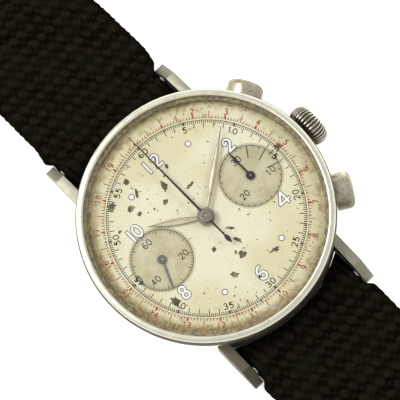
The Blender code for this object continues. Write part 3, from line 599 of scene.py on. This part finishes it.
class Print(Solid):
    """Lines and marks of one ink, on one level."""

    def __init__(self, level, raised=INK):
        super().__init__()
        self.level = level
        self.top = level + raised
        self.strokes = 0

    def next_top(self):
        """The ink's top, a hair apart from stroke to stroke: crossing strokes share no face."""
        self.strokes = (self.strokes + 1) % 5
        return self.top + 0.001 * self.strokes

    def stroke(self, points, width, clear=()):
        """A line through the points, cut away inside each (centre, radius) of clear."""
        run = []
        for p in points:
            inside = any(math.dist(p, centre) < radius for centre, radius in clear)
            if not inside:
                run.append(p)
            if (inside or p is points[-1]) and len(run) > 1:
                left, right = band(run, width)
                self.prism(left + right[::-1], self.level, self.next_top())
            if inside:
                run = []
        return self

    def hoop(self, radius, width, centre=CENTRE, steps=240):
        profile = rectangle(radius - width / 2, self.level, radius + width / 2, self.top)
        return self.lathe(profile, steps, centre)

    def tick(self, start, end, degrees, width, centre=CENTRE, tip=None):
        """A radial mark, its far end as wide as tip."""
        tip = width if tip is None else tip
        corners = ((-width / 2, start), (width / 2, start), (tip / 2, end), (-tip / 2, end))
        outline = [turned(x, y, -degrees, centre) for x, y in corners]
        return self.prism(outline, self.level, self.top)


def bow(cx, cy, rx, ry, start, end, steps=10):
    """Points along an ellipse, from one angle in degrees to another."""
    turns = [math.radians(start + (end - start) * i / steps) for i in range(steps + 1)]
    return [(cx + rx * math.cos(a), cy + ry * math.sin(a)) for a in turns]


# Each digit is drawn in a box 0.62 wide and 1 high
DIGITS = {
    "0": [bow(0.31, 0.5, 0.27, 0.46, 90, 450, 20)],
    "1": [[(0.16, 0.78), (0.33, 0.96), (0.33, 0.04)]],
    "2": [bow(0.31, 0.70, 0.25, 0.26, 170, -35) + [(0.09, 0.05)], [(0.04, 0.04), (0.58, 0.04)]],
    "3": [bow(0.29, 0.73, 0.23, 0.23, 150, -80) + bow(0.29, 0.27, 0.27, 0.23, 80, -150)],
    "4": [[(0.44, 0.04), (0.44, 0.96)], [(0.44, 0.94), (0.05, 0.31)], [(0.03, 0.30), (0.60, 0.30)]],
    "5": [[(0.54, 0.96), (0.15, 0.96), (0.11, 0.56)] + bow(0.29, 0.32, 0.26, 0.28, 120, -150)],
    "6": [[(0.50, 0.95)] + bow(0.42, 0.45, 0.36, 0.48, 105, 180, 6)
          + bow(0.31, 0.29, 0.25, 0.25, 180, 530, 14)],
    "7": [[(0.06, 0.95), (0.58, 0.95)], [(0.55, 0.94), (0.22, 0.04)]],
    "8": [bow(0.31, 0.73, 0.21, 0.23, 270, 630, 16), bow(0.31, 0.27, 0.25, 0.23, 90, 450, 16)],
    "9": [[(0.12, 0.05)] + bow(0.20, 0.55, 0.36, 0.48, -75, 0, 6)
          + bow(0.31, 0.71, 0.25, 0.25, 0, 350, 14)],
}
DIGIT_STEP = 0.80


def lengthened(points, more):
    """The line with each end carried on by this much."""
    first, second = Vector(points[0]), Vector(points[1])
    last, before = Vector(points[-1]), Vector(points[-2])
    start = first + (first - second).normalized() * more
    end = last + (last - before).normalized() * more
    return [start, *points, end]


def subdivided(points, spacing):
    made = [points[0]]
    for a, b in zip(points, points[1:]):
        parts = max(1, math.ceil(math.dist(a, b) / spacing))
        made += [Vector(a).lerp(Vector(b), i / parts) for i in range(1, parts + 1)]
    return made


def number(ink, text, place, height, width, turn=0.0, clear=(), step=DIGIT_STEP, digits=DIGITS,
           stretch=1.0, more=0.0):
    """A number centred on a place, turned clockwise by degrees, its open lines carried on by more."""
    span = 0.62 + step * (len(text) - 1)
    for i, digit in enumerate(text):
        for line in digits[digit]:
            points = []
            for x, y in line:
                x = (x + i * step - span / 2) * height * stretch
                y = (y - 0.5) * height
                points.append(turned(x, y, -turn, place))
            if more and points[0] != points[-1]:
                points = lengthened(points, more)
            ink.stroke(subdivided(points, 0.12) if clear else points, width, clear)


def upright_turn(degrees):
    """The turn of a number that reads round the dial: its top outwards above, inwards below."""
    return degrees + 180 if 90 < degrees % 360 < 270 else degrees


TRACK_R, SCALE_R = 14.2, 14.52


def build_tracks():
    """The seconds track with its numbers, and the red outer scale."""
    dark, red = Print(DIAL_Z), Print(DIAL_Z)
    dark.hoop(TRACK_R, 0.075)
    red.hoop(SCALE_R, 0.055)
    for i in range(300):
        long, width = (0.44, 0.27) if i % 25 == 0 else (1.05, 0.11) if i % 5 == 0 else (0.42, 0.105)
        dark.tick(TRACK_R, TRACK_R - long, i * 1.2, width)
    for i in range(200):
        long, width = (0.55, 0.40) if i % 10 == 0 else (1.0, 0.12) if i % 5 == 0 else (0.33, 0.13)
        red.tick(SCALE_R, SCALE_R + long, i * 1.8, width, tip=0.20 if i % 10 == 0 else width)
    for i in range(1, 13):
        degrees = i * 30
        place = spot(TRACK_R - 1.12, degrees)
        number(dark, str(i * 5), place, 0.90, 0.135, upright_turn(degrees), stretch=1.15)
    for i in range(1, 20):
        degrees = i * 18
        number(red, str(i), spot(SCALE_R + 1.08, degrees), 0.86, 0.16, upright_turn(degrees))
    printed("seconds_track", dark, INK_DARK)
    printed("outer_scale", red, INK_RED)


# Number, its radius and angle, its height, and the step between its digits
HOURS = ((12, 11.05, 358.6, 1.95, 0.86), (2, 10.95, 60, 1.95, 0), (4, 10.9, 120.6, 2.15, 0),
         (6, 11.15, 180, 2.1, 0), (8, 11.15, 240, 2.0, 0), (10, 10.5, 301.4, 1.95, 0.62))
HOUR_DIGITS = {**DIGITS, "1": [[(0.34, 0.96), (0.34, 0.04)]],
               "2": [[(0.30, 0.72), (0.16, 0.62)] + bow(0.31, 0.70, 0.25, 0.26, 180, -35)
                     + [(0.09, 0.06)], [(0.05, 0.04), (0.58, 0.04)]],
               "4": [[(0.56, 0.04), (0.56, 0.88)], [(0.56, 0.93), (0.0, 0.28)],
                     [(-0.02, 0.26), (0.76, 0.26)]]}


def build_hours():
    """Outlined hour numbers: a dark number with a narrower white one on it, and dots between."""
    outline, fill = Print(DIAL_Z), Print(DIAL_Z, INK * 1.8)
    clear = [(centre, COUNTER_R - 0.1) for centre in COUNTERS]
    for hour, radius, degrees, tall, step in HOURS:
        place = spot(radius, degrees)
        for ink, width, more in ((outline, 0.52, 0.2), (fill, 0.32, 0.1)):
            number(ink, str(hour), place, tall, width, 0.0, clear, step, HOUR_DIGITS, more=more)
    for hour in (1, 5, 7, 11):
        place = spot(11.05, hour * 30)
        outline.hoop(0.40, 0.12, place, 32)
        fill.cap_lathe([(0.35, DIAL_Z), (0.35, DIAL_Z + INK * 1.5)], 32, place)
    printed("hour_outlines", outline, INK_DARK)
    printed("hour_fills", fill, INK_WHITE)


def build_counters():
    ink, rims = Print(COUNTER_TOP), Print(DIAL_Z)
    edge = COUNTER_R - 0.22
    for i in range(60):
        long, width = (0.55, 0.10) if i % 5 == 0 else (0.30, 0.08)
        ink.tick(edge, edge - long, i * 6, width, FOURTH)
    for i in range(1, 31):
        inner, width = edge - (0.45 if i % 5 == 0 else 0.25), 0.09
        if i in (3, 6, 9):
            inner, width = 2.55, 0.14
        ink.tick(edge, inner, i * 12, width, RECORDER)
    labels = (("60", 0, 3.15, FOURTH), ("20", 120, 3.1, FOURTH), ("40", 240, 3.1, FOURTH),
              ("30", 0, 3.0, RECORDER), ("10", 120, 2.9, RECORDER), ("20", 240, 2.9, RECORDER))
    for text, degrees, radius, centre in labels:
        number(ink, text, spot(radius, degrees, centre), 0.98, 0.13)
    for centre in COUNTERS:
        ink.hoop(edge, 0.05, centre, 120)
        rims.hoop(COUNTER_R + 0.05, 0.05, centre, 120)
    printed("counter_print", ink, INK_DARK)
    printed("counter_rims", rims, INK_RIM)


# Corrosion on the dial: place, length, width and the turn of each patch, in mm and degrees
PATCHES = (
    (-4.6, 11.7, 0.95, 0.8, 20), (-4.7, 9.4, 1.2, 0.5, 60), (-6.8, 8.4, 1.0, 0.95, 0),
    (-6.4, 7.0, 0.7, 0.6, 30), (-8.5, 10.5, 1.3, 0.95, 0), (-10.15, 7.1, 0.6, 0.4, 10),
    (1.1, 9.4, 0.8, 0.5, 80), (-1.1, 7.5, 1.55, 0.9, 70), (1.6, 5.0, 1.4, 0.5, 0),
    (-2.6, 5.7, 0.95, 0.7, 20), (-4.2, 3.2, 0.4, 0.3, 0), (-2.4, -4.1, 0.75, 0.6, 45),
    (0.0, -7.4, 1.25, 1.0, 10), (-0.5, -6.5, 0.6, 0.3, 60), (-2.8, -8.7, 1.05, 0.75, 120),
    (-6.9, -5.6, 1.4, 0.8, 160), (-12.3, -4.5, 1.3, 1.15, 20), (-11.4, -5.6, 1.35, 1.1, 100),
    (3.7, -10.1, 1.5, 0.55, 165), (1.4, -3.5, 1.2, 0.35, 130), (0.9, -5.3, 1.2, 0.6, 110),
    (14.3, 0.4, 1.0, 0.8, 0), (13.4, 0.6, 0.7, 0.5, 40), (-13.3, 0.3, 1.3, 0.9, 90),
)


def build_stains():
    """Ragged flat patches of corrosion, and a scatter of fine pits."""
    rng = random.Random(11)
    ink = Print(DIAL_Z + 0.001, INK * 0.7)
    patches = list(PATCHES)
    for _ in range(320):
        x, y = spot(16.2 * math.sqrt(rng.random()), rng.uniform(0, 360))
        size = 0.09 + 0.24 * rng.random() ** 3
        patches.append((x, y, size, size * rng.uniform(0.6, 1.0), rng.uniform(0, 180)))
    for x, y, length, width, turn in patches:
        if any(math.dist((x, y), centre) < COUNTER_R + length for centre in COUNTERS):
            continue
        outline = []
        steps = 34 if length > 0.4 else 7
        for k in range(steps):
            t = 2 * math.pi * k / steps
            around = Vector((x + 1.7 * math.cos(t), y + 1.7 * math.sin(t), length * 3))
            ragged = 1 + 0.55 * noise.noise(around) + rng.uniform(-0.24, 0.24)
            u, v = length / 2 * ragged * math.cos(t), width / 2 * ragged * math.sin(t)
            outline.append(turned(u, v, turn, (x, y)))
        ink.prism(outline, ink.level, ink.top)
    printed("dial_corrosion", ink, STAIN)


# Hands


def hand_shader(name, colour, edge_colour, metal=0.3, stain=0.8):
    """Polished metal, browned in patches."""
    s = Shader(name, colour, metal, 0.2)
    clouds = s.noise(0.8, 5, 0.65)
    s.set("Base Color", s.mix(s.spread(clouds, 0.48, 0.72, 0.0, stain), colour, edge_colour))
    s.set("Roughness", s.spread(clouds, 0.3, 0.7, 0.42, 0.58))
    s.bump(s.noise(1.0, 2, place=s.stretched(22, 22, 22)), 0.003)
    return s.material


PALE = hand_shader("hand_metal", (0.74, 0.70, 0.54), (0.58, 0.48, 0.33))
# Painted shade: a browner copy of the hand metal for one slope of the ridge.
HAND_SHADED_SLOPE = hand_shader("hand_shaded_slope", (0.58, 0.49, 0.35), (0.46, 0.33, 0.22))
# Painted shade: a dark copy of the hand metal for the border faces, outlining the hand.
HAND_EDGE_SHADE = hand_shader("hand_edge_shade", (0.26, 0.23, 0.16), (0.17, 0.13, 0.08))
HUB = hand_shader("hub_metal", (0.34, 0.31, 0.24), (0.20, 0.17, 0.12), 0.7)
BLUED = hand_shader("blued_steel", (0.040, 0.036, 0.032), (0.08, 0.062, 0.045), 0.5, 0.6)
COLLET = hand_shader("collet_steel", (0.27, 0.25, 0.20), (0.15, 0.13, 0.09), 0.6)
GREYED = hand_shader("greyed_steel", (0.19, 0.19, 0.17), (0.12, 0.11, 0.09), 0.5, 0.6)
BORDER = 0.07
ROOT = 0.34
HUB_R = 1.27


def leaf_width(share, width):
    swell = math.sin(math.pi * share ** 1.05) ** 1.5
    return ROOT / 2 * (1 - share) + (width - ROOT / 2) / 2 * swell + 0.025


def ridged(stations, bottom, edge, ridge):
    """A hand along +Y through (y, half width) stations, with a ridge down its middle."""
    rings = []
    for y, half in stations:
        rise = min(1.0, half / 0.2)
        inner = max(half - BORDER, half * 0.3)
        rings.append([(-half, y, bottom), (half, y, bottom), (half, y, bottom + edge),
                      (inner, y, bottom + edge + 0.02), (0, y, bottom + edge + 0.02 + ridge * rise),
                      (-inner, y, bottom + edge + 0.02), (-half, y, bottom + edge)])
    return Solid().rings(rings)


def tarnish(mesh, stations, degrees):
    """A leaf hand's faces: painted shade along the border, painted shade on one slope, dull on the hub.
    """
    turn = rotation(degrees)
    for face in mesh.polygons:
        x, y, _ = turn @ (face.center / MM)
        half = max((h for at, h in stations if abs(at - y) < 0.3), default=0.0)
        if math.hypot(x, y) < HUB_R + 0.01:
            face.material_index = 3
        # Painted shade along the border.
        elif abs(x) > half - BORDER:
            face.material_index = 2
        # Painted shade on the slope at x > 0.
        else:
            face.material_index = int(x > 0)


def placed(shape, degrees, centre=CENTRE):
    return shape.transform(Matrix.Translation((*centre, 0)) @ rotation(-degrees))


def build_hands():
    hands = (("hour_hand", "hour_group", 304.5, 8.45, 0.92, 7.84, 0.74, "leaf_hour_hand"),
             ("minute_hand", "minute_group", 53.0, 13.3, 0.72, 8.14, 0.5, "leaf_minute_hand"))
    for node, body, degrees, length, width, level, bore, name in hands:
        stations = [(length * i / 28, leaf_width(i / 28, width)) for i in range(29)]
        low, top = level - 0.02, level + 0.17
        hub = [(bore, low), (HUB_R, low), (HUB_R, top - 0.03), (HUB_R - 0.03, top), (bore, top)]
        shape = ridged(stations, level, 0.05, 0.09).add(Solid().lathe(hub, 48))
        mesh = placed(shape, degrees).mesh()
        piece(name, mesh, body, PALE, [node], 12, others=(HAND_SHADED_SLOPE, HAND_EDGE_SHADE, HUB))
        tarnish(mesh, stations, degrees)
    needle = [(-5.3, 0.03), (-4.95, 0.22), (-4.5, 0.36), (-4.1, 0.28), (-3.75, 0.12), (-3.2, 0.12),
              (-1.0, 0.17), (0.0, 0.19), (4.0, 0.17), (8.0, 0.14), (12.0, 0.10), (16.1, 0.045)]
    shape = ridged(needle, 8.5, 0.05, 0.05)
    piece("sweep_hand", shape.mesh(), "runner_group", BLUED,
          ["chronograph_hand"], sharp=12)
    collar = [(0.17, 8.46), (0.97, 8.46), (0.98, 8.62), (0.90, 8.72), (0.50, 8.76), (0.40, 8.70),
              (0.17, 8.70)]
    hub = Solid().lathe(collar, 48)
    piece("sweep_collet", hub.mesh(), "runner_group", COLLET, sharp=25)
    seconds = [(-0.55, 0.13), (0.0, 0.16), (1.5, 0.15), (3.0, 0.14), (4.35, 0.10)]
    minutes = [(0.0, 0.16), (1.8, 0.13), (2.6, 0.14), (3.2, 0.22), (3.7, 0.16), (4.45, 0.04)]
    boss = [(0.14, 7.52), (0.63, 7.52), (0.64, 7.62), (0.56, 7.70), (0.26, 7.72), (0.14, 7.70)]
    small = (("running_seconds", "fourth_group", FOURTH, 202.9, seconds, GREYED),
             ("minute_counter", "recorder_group", RECORDER, 0.0, minutes, BLUED))
    for kind, body, centre, degrees, stations, finish in small:
        name = kind + "_needle"
        shape = ridged(stations, 7.54, 0.04, 0.04).add(Solid().lathe(boss, 36))
        mesh = placed(shape, degrees, centre).mesh()
        piece(name, mesh, body, finish, [kind + "_hand"], sharp=14)


# Crown and pushers


def crown_shader():
    """Worn steel, with dirt in the flutes and at the inner end."""
    s = Shader("crown_steel", (0.62, 0.59, 0.52), 1.0, 0.25)
    groove = s.attribute("depth")
    clouds = s.noise(1.6, 4, 0.65)
    dirt = s.spread(s.plus(groove, clouds, 0.7), 0.5, 1.1)
    s.set("Base Color", s.mix(dirt, (0.60, 0.57, 0.48), (0.085, 0.065, 0.04)))
    s.set("Roughness", s.spread(dirt, 0.0, 1.0, 0.2, 0.6))
    s.bump(s.noise(5.0, 4, 0.7), 0.012)
    return s.material


def build_crown():
    ribs, per_rib = 34, 8
    count = ribs * per_rib
    levels = [(18.8, 0.83), (18.86, 0.87), (19.0, 0.93), (19.25, 0.975), (19.6, 1.0), (20.05, 1.005),
              (20.4, 0.99), (20.7, 0.955), (20.95, 0.905), (21.13, 0.84), (21.25, 0.77), (21.32, 0.69),
              (21.34, 0.60)]
    rings = []
    for i, (height, scale) in enumerate(levels):
        depth = 0.17 if 0 < i < len(levels) - 2 else 0.03
        ring = []
        for k in range(count):
            wave = (0.5 + 0.5 * math.cos(2 * math.pi * k / per_rib)) ** 0.7
            radius = 3.1 * scale - depth * (1 - wave)
            ring.append((*turned(radius, 0, 360 * k / count, CENTRE), height))
        rings.append(ring)
    shape = Solid().rings(rings).transform(outward(0, STEM_Z))
    recess = Solid().cap_lathe([(1.3, 18), (1.3, 19.9), (0.57, 19.95), (0.57, 20.6)], 32)
    mesh = carved(shape, cuts=[recess.transform(outward(0, STEM_Z))])
    values = []
    for vertex in mesh.vertices:
        x, y, z = vertex.co / MM
        radius = math.hypot(y, z - STEM_Z)
        a = math.atan2(y, z - STEM_Z) * ribs / (2 * math.pi)
        wave = abs((a % 1.0) - 0.5) * 2
        values.append((1 - wave) * 1.1 if radius > 1.9 else 0.25)
        if x < 19.0:
            values[-1] += 0.45
    tag(mesh, "depth", values)
    piece("fluted_crown", mesh, "crown_and_stem", crown_shader(), ["crown"], sharp=60)


def pusher_shader(name, end):
    """Worn steel, browned in patches, dark round the edge of the cap, and with painted shade on the side
    towards 6 o'clock.
    """
    s = Shader(name, (0.60, 0.56, 0.44), 1.0, 0.34)
    clouds = s.noise(0.9, 5, 0.7)
    colour = s.mix(s.spread(clouds, 0.45, 0.66, 0.0, 0.75), (0.66, 0.63, 0.50), (0.34, 0.26, 0.14))
    pits = s.spread(s.noise(2.4, 4, 0.7), 0.64, 0.70, 0.0, 0.85)
    colour = s.mix(pits, colour, (0.10, 0.085, 0.05))
    a = math.radians(PUSHER_ANGLE)
    # Painted shade: the side of the pusher that faces 6 o'clock, away from the key light, is darkened.
    towards_6 = s.along(end * math.sin(a), -math.cos(a), 0)
    colour = s.mix(s.spread(towards_6, 1.0, 2.4, 0.0, 0.85), colour, (0.14, 0.115, 0.07))
    s.set("Base Color", s.mix(s.spread(s.radius(), 20.4, 21.0, 0.0, 0.85), colour, (0.17, 0.16, 0.10)))
    s.set("Roughness", s.spread(clouds, 0.3, 0.7, 0.26, 0.46))
    s.bump(s.noise(1.0, 2, place=s.stretched(9, 9, 1.2)), 0.006)
    return s.material


def build_pushers():
    profile = [(0.02, 15.9), (0.65, 15.9), (0.65, 20.25), (2.1, 20.25), (2.1, 18.45), (2.60, 18.45),
               (2.67, 18.52), (2.7, 18.62), (2.7, 20.1), (2.68, 20.4), (2.58, 20.65), (2.42, 20.84),
               (2.15, 21.0), (1.75, 21.09), (1.3, 21.15), (0.7, 21.19), (0.02, 21.2)]
    for name, node, body, end in (("upper_pusher", "start_pusher", "start_button", 1),
                                  ("lower_pusher", "reset_pusher", "reset_button", -1)):
        shape = Solid().cap_lathe(profile, 96).transform(outward(PUSHER_ANGLE * end, PUSHER_Z))
        finish = pusher_shader(name + "_steel", end)
        piece(name, shape.mesh(), body, finish, [node], sharp=40)


# Strap and buckle


HALF_WIDTH = 10.6
NARROW_HALF = 10.02
BAND = 1.16
PIN_Y, PIN_Z = 95.0, 1.62
LOWER_END = 134.0
UPPER_LIE, LOWER_LIE = 1.4, 0.81
HOLES, FIRST_HOLE, HOLE_STEP, HOLE_R = 7, 10.5, 6.5, 0.9
CASE_WALL_R = 18.53
CELL = 0.27
# The radius of a rolled end, and how far it goes past its spring bar
ROLL, REACH = 1.3, 1.25
WARP_PITCH, WEFT_PITCH = 1.6, 2.2
DRIFT = {1: 0.6, -1: 0.1}


def strap_shader():
    """Coarse dark webbing: hairy near-black yarn, browner and paler on the high points."""
    s = Shader("dark_webbing", (0.012, 0.010, 0.007), 0.0, 0.9, Specular_IOR_Level=0.0)
    raised = s.attribute("raised")
    fibre = s.noise(1.0, 3, 0.7, place=s.stretched(7, 2.2, 7))
    clouds = s.noise(0.35, 3)
    share = s.math("MULTIPLY", s.spread(raised, 0.1, 1.0), s.spread(fibre, 0.25, 0.75))
    tone = s.mix(share, (0.0036, 0.0030, 0.0019), (0.0215, 0.0175, 0.0105))
    s.set("Base Color", s.mix(s.spread(clouds, 0.40, 0.65, 0.0, 0.45), tone, (0.0090, 0.0098, 0.0055)))
    s.bump(fibre, 0.08, 0.9)
    return s.material


WEBBING = strap_shader()


def eased(share):
    share = min(max(share, 0.0), 1.0)
    return share * share * (3 - 2 * share)


def weave(across, along):
    """How far the yarn stands up at a point of the webbing, from 0 to 1."""
    drift = 0.10 * noise.noise(Vector((across * 0.4, along * 0.4, 3.0)))
    u, v = across / WARP_PITCH + drift, along / WEFT_PITCH + drift
    best = 0.0
    for shift, long, short, tall in ((0.0, 1.0, 0.70, 1.0), (0.5, 0.42, 0.36, 0.75)):
        cell = Vector((round(u - shift), round(v - shift), shift * 9))
        size = 1 + 0.22 * noise.noise(cell * 1.37)
        du, dv = (u - shift - cell.x) * WARP_PITCH, (v - shift - cell.y) * WEFT_PITCH
        slant, upright = (du - dv) * math.sqrt(0.5), (du + dv) * math.sqrt(0.5)
        reach = (slant / (long * size)) ** 2 + (upright / (short * size)) ** 2
        if reach < 1:
            best = max(best, tall * math.sqrt(1 - reach))
    return best


def strap_section(out, lie, pin_at=None):
    """(middle height, half width, half thickness) of the webbing this far out from its spring bar."""
    height = BAR_Z + (lie - BAR_Z) * eased((out - 0.5) / 15)
    half = NARROW_HALF + (HALF_WIDTH - NARROW_HALF) * eased((out - 1.75) / 1.1)
    half += 0.25 * eased((out - 2.0) / 1.2) * (1 - eased((out - 12) / 10))
    thick = BAND / 2
    if pin_at:
        height += (PIN_Z - height) * eased((out - pin_at + 6) / 6)
        thick = max(thick, math.sqrt(max(0.0, ROLL ** 2 - (out - pin_at) ** 2)))
    blunt = 0.6 * out if out < 0 else out
    return height, half, max(thick, math.sqrt(max(0.0, ROLL ** 2 - blunt ** 2)))


def end_reach(x):
    """How far the strap's rolled end bulges from the spring bar towards the round case wall."""
    return BAR_Y - math.sqrt(CASE_WALL_R ** 2 - x * x)


def woven_half(end, length, lie, pin_at=None, pointed=0.0):
    """One half of the strap: two woven faces joined round their edges."""
    columns = round(2 * HALF_WIDTH / CELL)
    rows = round((length + REACH) / CELL)
    rng = random.Random(5)
    rings, raised = [], []
    for row in range(rows + 1):
        out = -REACH + (length + REACH) * row / rows
        height, half, thick = strap_section(out, lie, pin_at)
        if pointed and out > length - pointed:
            share = min((out - length + pointed) / pointed, 0.985)
            half *= math.sqrt(1 - share ** 2.2)
        fray = 0.05 * math.cos(out * 4 * math.pi / WEFT_PITCH) + rng.uniform(-0.03, 0.03)
        fray *= eased((out - 2.2) / 2)
        drift = DRIFT[end] * eased((out - 2.0) / 4) * (1 - eased((out - 14) / 10)) * end
        ring = []
        for side in (1, -1):
            for column in range(columns + 1):
                u = (column / columns * 2 - 1) * side
                edge = eased((1 - abs(u)) * 12)
                up = weave(u * half, out + (0.0 if side > 0 else WEFT_PITCH / 2)) * (0.35 + 0.65 * edge)
                body = thick * math.sqrt(max(0.12, 1 - abs(u) ** 14))
                x = u * (half + fray) + drift
                y = BAR_Y + out * (end_reach(x) / REACH if out < 0 else 1.0)
                ring.append((x * end, y * end, height + side * (body - 0.12 + 0.30 * up)))
                raised.append(up)
        rings.append(ring)
    solid = Solid().rings(rings)
    cuts = []
    if pin_at:
        cuts.append(Solid().prism(rectangle(-1.4, PIN_Y - 2.4, 1.4, PIN_Y + 3), -2, 6))
    else:
        for i in range(HOLES):
            place = (0, FIRST_HOLE + HOLE_STEP * i - LOWER_END)
            cuts.append(Solid().cap_lathe([(HOLE_R, -2), (HOLE_R, 5)], 24, place))
    mesh = carved(solid, cuts=cuts)
    lookup = {tuple(round(c, 3) for c in point): up for point, up in zip(solid.verts, raised)}
    tag(mesh, "raised", [lookup.get(tuple(round(c / MM, 3) for c in v.co), 0.2) for v in mesh.vertices])
    return mesh


def keeper(name, node, body, y, slack):
    """A sewn loop round both layers of the strap, with rounded corners and edges."""
    wide, bottom, top, corner = HALF_WIDTH + slack + 0.5, 0.06, 4.6, 0.9
    path = []
    for cx, cy, start in ((wide - corner, top - corner, 0), (-wide + corner, top - corner, 90),
                          (-wide + corner, bottom + corner, 180), (wide - corner, bottom + corner, 270)):
        for nx, ny in bow(0, 0, 1, 1, start, start + 90, 6):
            path.append(Vector((cx + corner * nx, cy + corner * ny, nx, ny)))
    dense = []
    for here, ahead in zip(path, path[1:] + path[:1]):
        parts = max(1, round((ahead.xy - here.xy).length / 0.5))
        dense += [here.lerp(ahead, k / parts) for k in range(parts)]
    section = ((-0.02, -2.15), (-0.02, 2.15), (-0.46, 2.1), (-0.46, -2.1))
    rings = [[(px + nx * lift, y + across, py + ny * lift) for lift, across in section]
             for px, py, nx, ny in dense]
    mesh = Solid().rings(rings, wrap=True).mesh()
    tag(mesh, "raised", [0.6] * len(mesh.vertices))
    piece(name, mesh, body, WEBBING, [node], sharp=60, bevel=0.12)


def build_strap():
    at_pin = PIN_Y - BAR_Y
    upper = woven_half(1, at_pin + REACH, UPPER_LIE, pin_at=at_pin)
    piece("woven_strap_upper", upper, "strap_12_half", WEBBING, ["strap_12"], sharp=180)
    lower = woven_half(-1, LOWER_END - BAR_Y, LOWER_LIE, pointed=8.0)
    piece("woven_strap_lower", lower, "strap_6_half", WEBBING, ["strap_6"], sharp=180)
    keeper("sewn_loop", "fixed_keeper", "strap_12_half", 87.0, 0.12)
    keeper("sliding_loop", "free_keeper", "free_keeper_loop", 74.0, 0.55)
    frame_line = [(12.9, 93.6), (12.9, 102.0)]
    frame_line += bow(9.9, 102.0, 3.0, 3.0, 0, 90, 12)[1:] + bow(-9.9, 102.0, 3.0, 3.0, 90, 180, 12)
    frame_line += [(-12.9, 93.6), (-11.0, 93.6), (-11.0, 102.4), (11.0, 102.4), (11.0, 93.6)]
    on_pin = Matrix.Translation((0, PIN_Y, PIN_Z)) @ rotation(90, "Y")
    hole = Solid().cap_lathe([(0.53, -14), (0.53, 14)], 24).transform(on_pin)
    mesh = carved(Solid().prism(frame_line, 0.75, 2.45), cuts=[hole])
    piece("buckle_bow", mesh, "buckle", STEEL, ["buckle_frame"], 30, 0.3)
    blade = [(PIN_Y + 0.2, 2.0), (PIN_Y + 1.6, 2.5), (PIN_Y + 9.6, 2.52), (PIN_Y + 9.8, 2.9),
             (PIN_Y + 1.2, 3.3), (PIN_Y - 0.4, 2.8)]
    tongue = Solid().rings([[(x, y, z) for y, z in blade] for x in (-0.7, 0.7)])
    knuckle = Solid().lathe(rectangle(0.54, -0.9, 1.2, 0.9), 40).transform(on_pin)
    mesh = carved(knuckle, [tongue])
    piece("buckle_prong", mesh, "tongue", STEEL, ["buckle_tongue"], 30, 0.15)


def build_back():
    """The snap-on case back, with a turned rim and opening notches."""
    plate = [(0.0, 0.0), (13.9, 0.0), (14.3, 0.05), (16.7, 0.72), (16.9, 0.9), (16.9, 1.45),
             (16.2, 1.45), (16.2, 2.2), (15.6, 2.2), (15.6, 0.8), (0.0, 0.8)]
    notch = rectangle(15.3, -1.0, 17.5, 1.0)
    notches = [Solid().prism(notch, -0.5, 0.75).transform(rotation(30 + 60 * i)) for i in range(6)]
    mesh = carved(Solid().cap_lathe(plate[::-1], 160), cuts=notches)
    piece("snap_back", mesh, "case", BACK_STEEL, ["case_back"], sharp=25)


def finish_movement():
    """The CAD nodes that keep their shape take the finish of their slot."""
    finishes = {"movement_steel": MOVEMENT_STEEL, "gilt_brass": GILT, "polished_steel": STEEL}
    for row in frame["record"]["subparts"]:
        made = frame["nodes"][row["node"]]
        if row["material_slot"] in finishes:
            made.data.materials.clear()
            made.data.materials.append(finishes[row["material_slot"]])


set_camera()
set_studio()
build_case()
build_back()
build_crystal()
build_dial()
build_tracks()
build_hours()
build_counters()
build_stains()
build_hands()
build_crown()
build_pushers()
build_strap()
finish_movement()
